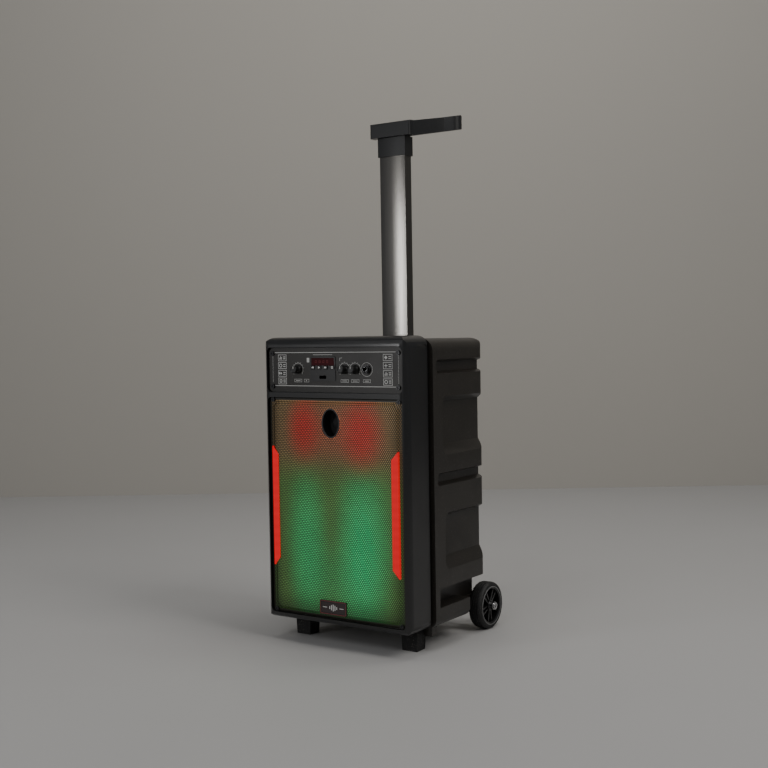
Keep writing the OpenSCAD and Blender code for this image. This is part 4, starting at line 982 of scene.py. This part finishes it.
def icon(print_, kind, x, z, s):
    """One plain sign, drawn round x and z at half size s."""
    if kind == "play":
        print_.outline([(x - s * 0.6, z - s * 0.8), (x + s * 0.8, z), (x - s * 0.6, z + s * 0.8)])
    elif kind == "back":
        print_.outline([(x + s * 0.1, z - s * 0.7), (x + s * 0.1, z + s * 0.7), (x - s * 0.8, z)])
        print_.outline([(x + s, z - s * 0.7), (x + s, z + s * 0.7), (x + s * 0.1, z)])
    elif kind == "forward":
        print_.outline([(x - s * 0.1, z - s * 0.7), (x + s * 0.8, z), (x - s * 0.1, z + s * 0.7)])
        print_.outline([(x - s, z - s * 0.7), (x - s * 0.1, z), (x - s, z + s * 0.7)])
    elif kind == "square":
        print_.frame(x - s * 0.7, z - s * 0.7, x + s * 0.7, z + s * 0.7, s * 0.3)
    elif kind == "ring":
        print_.ring(x, z, s * 0.85, s * 0.3, steps=18)
    elif kind == "bars":
        for k, h in enumerate((0.5, 0.9, 0.7)):
            print_.bar(x - s * 0.7 + k * s * 0.55, z - s * 0.8, x - s * 0.4 + k * s * 0.55,
                       z - s * 0.8 + h * s * 1.7)
    elif kind == "cross":
        print_.bar(x - s * 0.15, z - s * 0.8, x + s * 0.15, z + s * 0.8)
        print_.bar(x - s * 0.8, z - s * 0.15, x - s * 0.15, z + s * 0.15)
        print_.bar(x + s * 0.15, z - s * 0.15, x + s * 0.8, z + s * 0.15)
    elif kind == "diamond":
        print_.outline([(x, z - s * 0.85), (x + s * 0.85, z), (x, z + s * 0.85), (x - s * 0.85, z)])


def middle(node, axis):
    """The middle of a node's box along one axis, in metres."""
    low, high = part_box(node)
    return 0.5 * (low[axis] + high[axis])


def panel_print():
    """The lines, frames, scales and signs printed on the control panel."""
    p = Print(0.0)
    knob_z = (KNOB_Z - SILL) / MM
    low, high = 368.5, 421.6
    for z in (low, high):
        p.bar(-118, z - 0.45, 118, z + 0.45)
    signs = {-1: ("square", "forward", "ring", "bars"), 1: ("ring", "bars", "cross", "diamond")}
    for side, kinds in signs.items():
        for k in range(20):
            z = low + 6 + k * (high - low - 12) / 19
            p.ring(side * 122, z, 0.55, 0.549, steps=8)
        x = side * 102.5
        for k, kind in enumerate(kinds):
            z = 376 + k * 12.4
            p.frame(x - 8.5, z - 5.2, x + 8.5, z + 5.2, 0.7)
            icon(p, kind, x - 3.4, z, 3.6)
            p.bar(x + 1.6, z + 0.9, x + 6.4, z + 2.1)
            p.bar(x + 1.6, z - 2.1, x + 6.4, z - 0.9)
    for name in KNOBS:
        x = middle(name + "_knob", 0) / MM
        p.ring(x, knob_z, 10.4, 0.5, -130, 130, 30)
        for k in range(11):
            a = math.radians(-130 + 26 * k)
            u, v = math.sin(a), math.cos(a)
            p.outline([(x + r * u + w * v, knob_z + r * v - w * u)
                       for r, w in ((10.6, -0.25), (10.6, 0.25), (12.0, 0.25), (12.0, -0.25))])
        p.frame(x - 7.5, 374.6, x + 7.5, 379.4, 0.45)
        p.bar(x - 4.5, 376.6, x + 4.5, 377.4)
    x = middle("mic_jack", 0) / MM
    p.ring(x, knob_z, 10.8, 0.45, 0, 360, 40)
    p.frame(x - 7, 374.6, x + 7, 379.4, 0.45)
    p.bar(x - 4, 376.6, x + 4, 377.4)
    p.bar(-40, 417.6, -2, 418.2)
    p.frame(-58.5, 374.6, -48.8, 379.4, 0.45)
    icon(p, "play", -53.6, 377, 1.6)
    p.bar(12, 408, 12.6, 413)
    p.bar(12, 412.4, 17, 413)
    p.bar(-52.5, 406, -47.5, 413)
    p.make("panel_print", "print")


def player():
    """The player, its display window and its four buttons with their icons."""
    refined("player_module", "dark", edge=0.2 * MM)
    refined("display_window", "display", edge=0.15 * MM)
    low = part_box("display_window")[0]
    marks = Print((low[1] - FACE) / MM, -0.04)
    for k in range(4):
        icon(marks, "square", low[0] / MM + 9 + k * 7.4, (low[2] - SILL) / MM + 6, 2.6)
    marks.make("display_marks", "digits")
    for node, kind in (("previous_button", "back"), ("play_button", "play"),
                       ("next_button", "forward"), ("mode_button", "square")):
        refined(node, "dark", node, edge=0.2 * MM)
        face = Print((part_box(node)[0][1] - FACE) / MM)
        icon(face, kind, middle(node, 0) / MM, (middle(node, 2) - SILL) / MM, 2.4)
        face.make(node + "_icon", "icon", node)


def knob(name):
    """A grooved knob with a dished face and a white pointer."""
    node = name + "_knob"
    low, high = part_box(node)
    centre = Vector((middle(node, 0), low[1], middle(node, 2)))
    r = 0.5 * (high[0] - low[0])
    deep = high[1] - low[1]
    count = sizes().knurls
    profile = [(0.0001, 0.0006), (r * 0.60, 0.0006), (r * 0.66, 0.0002), (r * 0.76, 0.0),
               (r * 0.83, 0.0005), (r * 0.86, 0.0014), (r * 0.90, deep - 0.0034),
               (r * 0.93, deep - 0.0026), (r * 0.99, deep - 0.0022), (r, deep - 0.0016),
               (r, deep), (r * 0.5, deep), (r * 0.45, deep - 0.001), (0.0001, deep - 0.001)]

    def grooves(angle, radius, depth):
        if 0.001 < depth < deep - 0.003 and radius > r * 0.8:
            return radius - 0.00035 * (0.5 + 0.5 * math.cos(count * angle))
        return radius

    verts, faces = lathe(profile, centre, "y", count * 8, grooves)
    piece(node + "_finish", verts, faces, "dark", node, stands_for=(node,), angle=40)
    mark = Print((low[1] - FACE) / MM, 0.02, 0.7)
    x, z = centre.x / MM, (centre.z - SILL) / MM
    mark.bar(x - 0.45, z + 1.2, x + 0.45, z + r / MM * 0.8)
    mark.make(name + "_pointer", "print", node)
    dress("nickel", name + "_shaft")


class SPEAKER_OT_panel(bpy.types.Operator):
    """Finishes the control panel: its print, the player, the buttons, the knobs and the jack"""
    bl_idname = "speaker.panel"
    bl_label = "Control panel"

    def execute(self, context):
        refined("control_panel", "panel", edge=0.2 * MM)
        panel_print()
        player()
        for name in KNOBS:
            knob(name)
        refined("mic_jack", "black_steel", edge=0.25 * MM)
        mouth = Vector((middle("mic_jack", 0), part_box("mic_jack")[0][1], KNOB_Z))
        verts, faces = lathe([(0.0033, 0.0), (0.0045, 0.0), (0.0047, 0.0004), (0.0045, 0.0008),
                              (0.0033, 0.0008)], mouth, "y", 40)
        piece("jack_ring", verts, faces, "nickel")
        dress("black_steel", "panel_screws")
        dress("zinc", "potentiometers")
        dress("board", "main_board")
        return {"FINISHED"}


class SPEAKER_OT_speakers(bpy.types.Operator):
    """Finishes the tweeter, the woofer and everything inside the cabinet"""
    bl_idname = "speaker.speakers"
    bl_label = "Loudspeakers and inside"

    def execute(self, context):
        refined("tweeter_bezel", "dark", edge=0.3 * MM)
        refined("tweeter", "cone")
        dress("rubber", "woofer_surround")
        dress("cone", "woofer_cone")
        dress("grille", "woofer_basket")
        dress("ferrite", "woofer_magnet")
        dress("zinc", "woofer_screws", "battery_strap")
        dress("board", "amplifier_board")
        dress("aluminium", "heat_sink")
        dress("battery", "battery_pack")
        dress("wire", "wiring")
        refined("inlet_plate", "dark", edge=0.3 * MM)
        refined("charge_inlet", "dark", edge=0.3 * MM)
        refined("power_switch", "switch", "power_switch", edge=0.3 * MM)
        return {"FINISHED"}


class SPEAKER_OT_wheels(bpy.types.Operator):
    """Finishes the wheels, their tyres and caps, and the axle"""
    bl_idname = "speaker.wheels"
    bl_label = "Wheels"

    def execute(self, context):
        for name, sign in (("left", -1), ("right", 1)):
            body = name + "_wheel"
            refined("wheel_" + name, "dark", body, edge=0.3 * MM)
            refined("hub_cap_" + name, "nickel", body, edge=0.4 * MM)
            low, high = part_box("tyre_" + name)
            centre = 0.5 * (Vector(low) + Vector(high))
            r = 0.5 * (high[2] - low[2])
            w = 0.5 * (high[0] - low[0])
            inner = r - 0.007
            profile = [(inner, -w + 0.0006), (inner + 0.002, -w + 0.0001), (r - 0.0042, -w),
                       (r - 0.0022, -w + 0.0008), (r - 0.0009, -w + 0.0024),
                       (r - 0.0003, -w + 0.0045)]
            for g in (-0.0045, 0.0, 0.0045):
                profile += [(r, g - 0.0011), (r - 0.0012, g - 0.0007), (r - 0.0012, g + 0.0007),
                            (r, g + 0.0011)]
            profile += [(a, -b) for a, b in reversed(profile[:6])]
            verts, faces = lathe(profile, centre, "x", 96)
            piece("tyre_" + name + "_finish", verts, faces, "tyre", body,
                  stands_for=("tyre_" + name,), angle=50)
            outer = sign * w
            ring = [(inner - 0.0012, outer), (inner - 0.0002, outer),
                    (inner - 0.0002, outer - sign * 0.0012), (inner - 0.0012, outer - sign * 0.0012)]
            verts, faces = lathe(ring, centre, "x", 72)
            piece("rim_line_" + name, verts, faces, "rim_line", body)
        dress("steel", "axle")
        dress("zinc", "axle_clips")
        return {"FINISHED"}


class SPEAKER_OT_handle(bpy.types.Operator):
    """Finishes the telescopic handle, its collar, its grip and its guide"""
    bl_idname = "speaker.handle"
    bl_label = "Handle"

    def execute(self, context):
        refined("handle_tube", "tube", "handle")
        refined("handle_collar", "frame", "handle", edge=0.5 * MM)
        refined("handle_grip", "frame", "handle", edge=1.2 * MM)
        refined("guide_bezel", "dark", edge=0.5 * MM)
        dress("guide", "guide_tube")
        dress("dark", "tube_slider")
        return {"FINISHED"}


class SPEAKER_PT_panel(bpy.types.Panel):
    """Lists the speaker's operators, sizes and colours"""
    bl_idname = "SPEAKER_PT_panel"
    bl_label = "Speaker"
    bl_space_type = "VIEW_3D"
    bl_region_type = "UI"
    bl_category = "Speaker"

    def draw(self, context):
        for cls in OPERATORS:
            self.layout.operator(cls.bl_idname)
        for group in (context.scene.speaker_sizes, context.scene.speaker_colours):
            for key in group.bl_rna.properties.keys():
                if key not in {"rna_type", "name"}:
                    self.layout.prop(group, key)


OPERATORS = (
    SPEAKER_OT_materials, SPEAKER_OT_stage, SPEAKER_OT_shells, SPEAKER_OT_grille,
    SPEAKER_OT_badge, SPEAKER_OT_panel, SPEAKER_OT_speakers, SPEAKER_OT_wheels,
    SPEAKER_OT_handle,
)
CLASSES = (SpeakerSizes, SpeakerColours) + OPERATORS + (SPEAKER_PT_panel,)


def register():
    for cls in CLASSES:
        bpy.utils.register_class(cls)
    bpy.types.Scene.speaker_sizes = bpy.props.PointerProperty(type=SpeakerSizes)
    bpy.types.Scene.speaker_colours = bpy.props.PointerProperty(type=SpeakerColours)


def unregister():
    del bpy.types.Scene.speaker_colours
    del bpy.types.Scene.speaker_sizes
    for cls in reversed(CLASSES):
        bpy.utils.unregister_class(cls)


def main():
    register()
    for cls in OPERATORS:
        getattr(bpy.ops.speaker, cls.bl_idname.split(".")[1])()


if __name__ == "__main__":
    main()
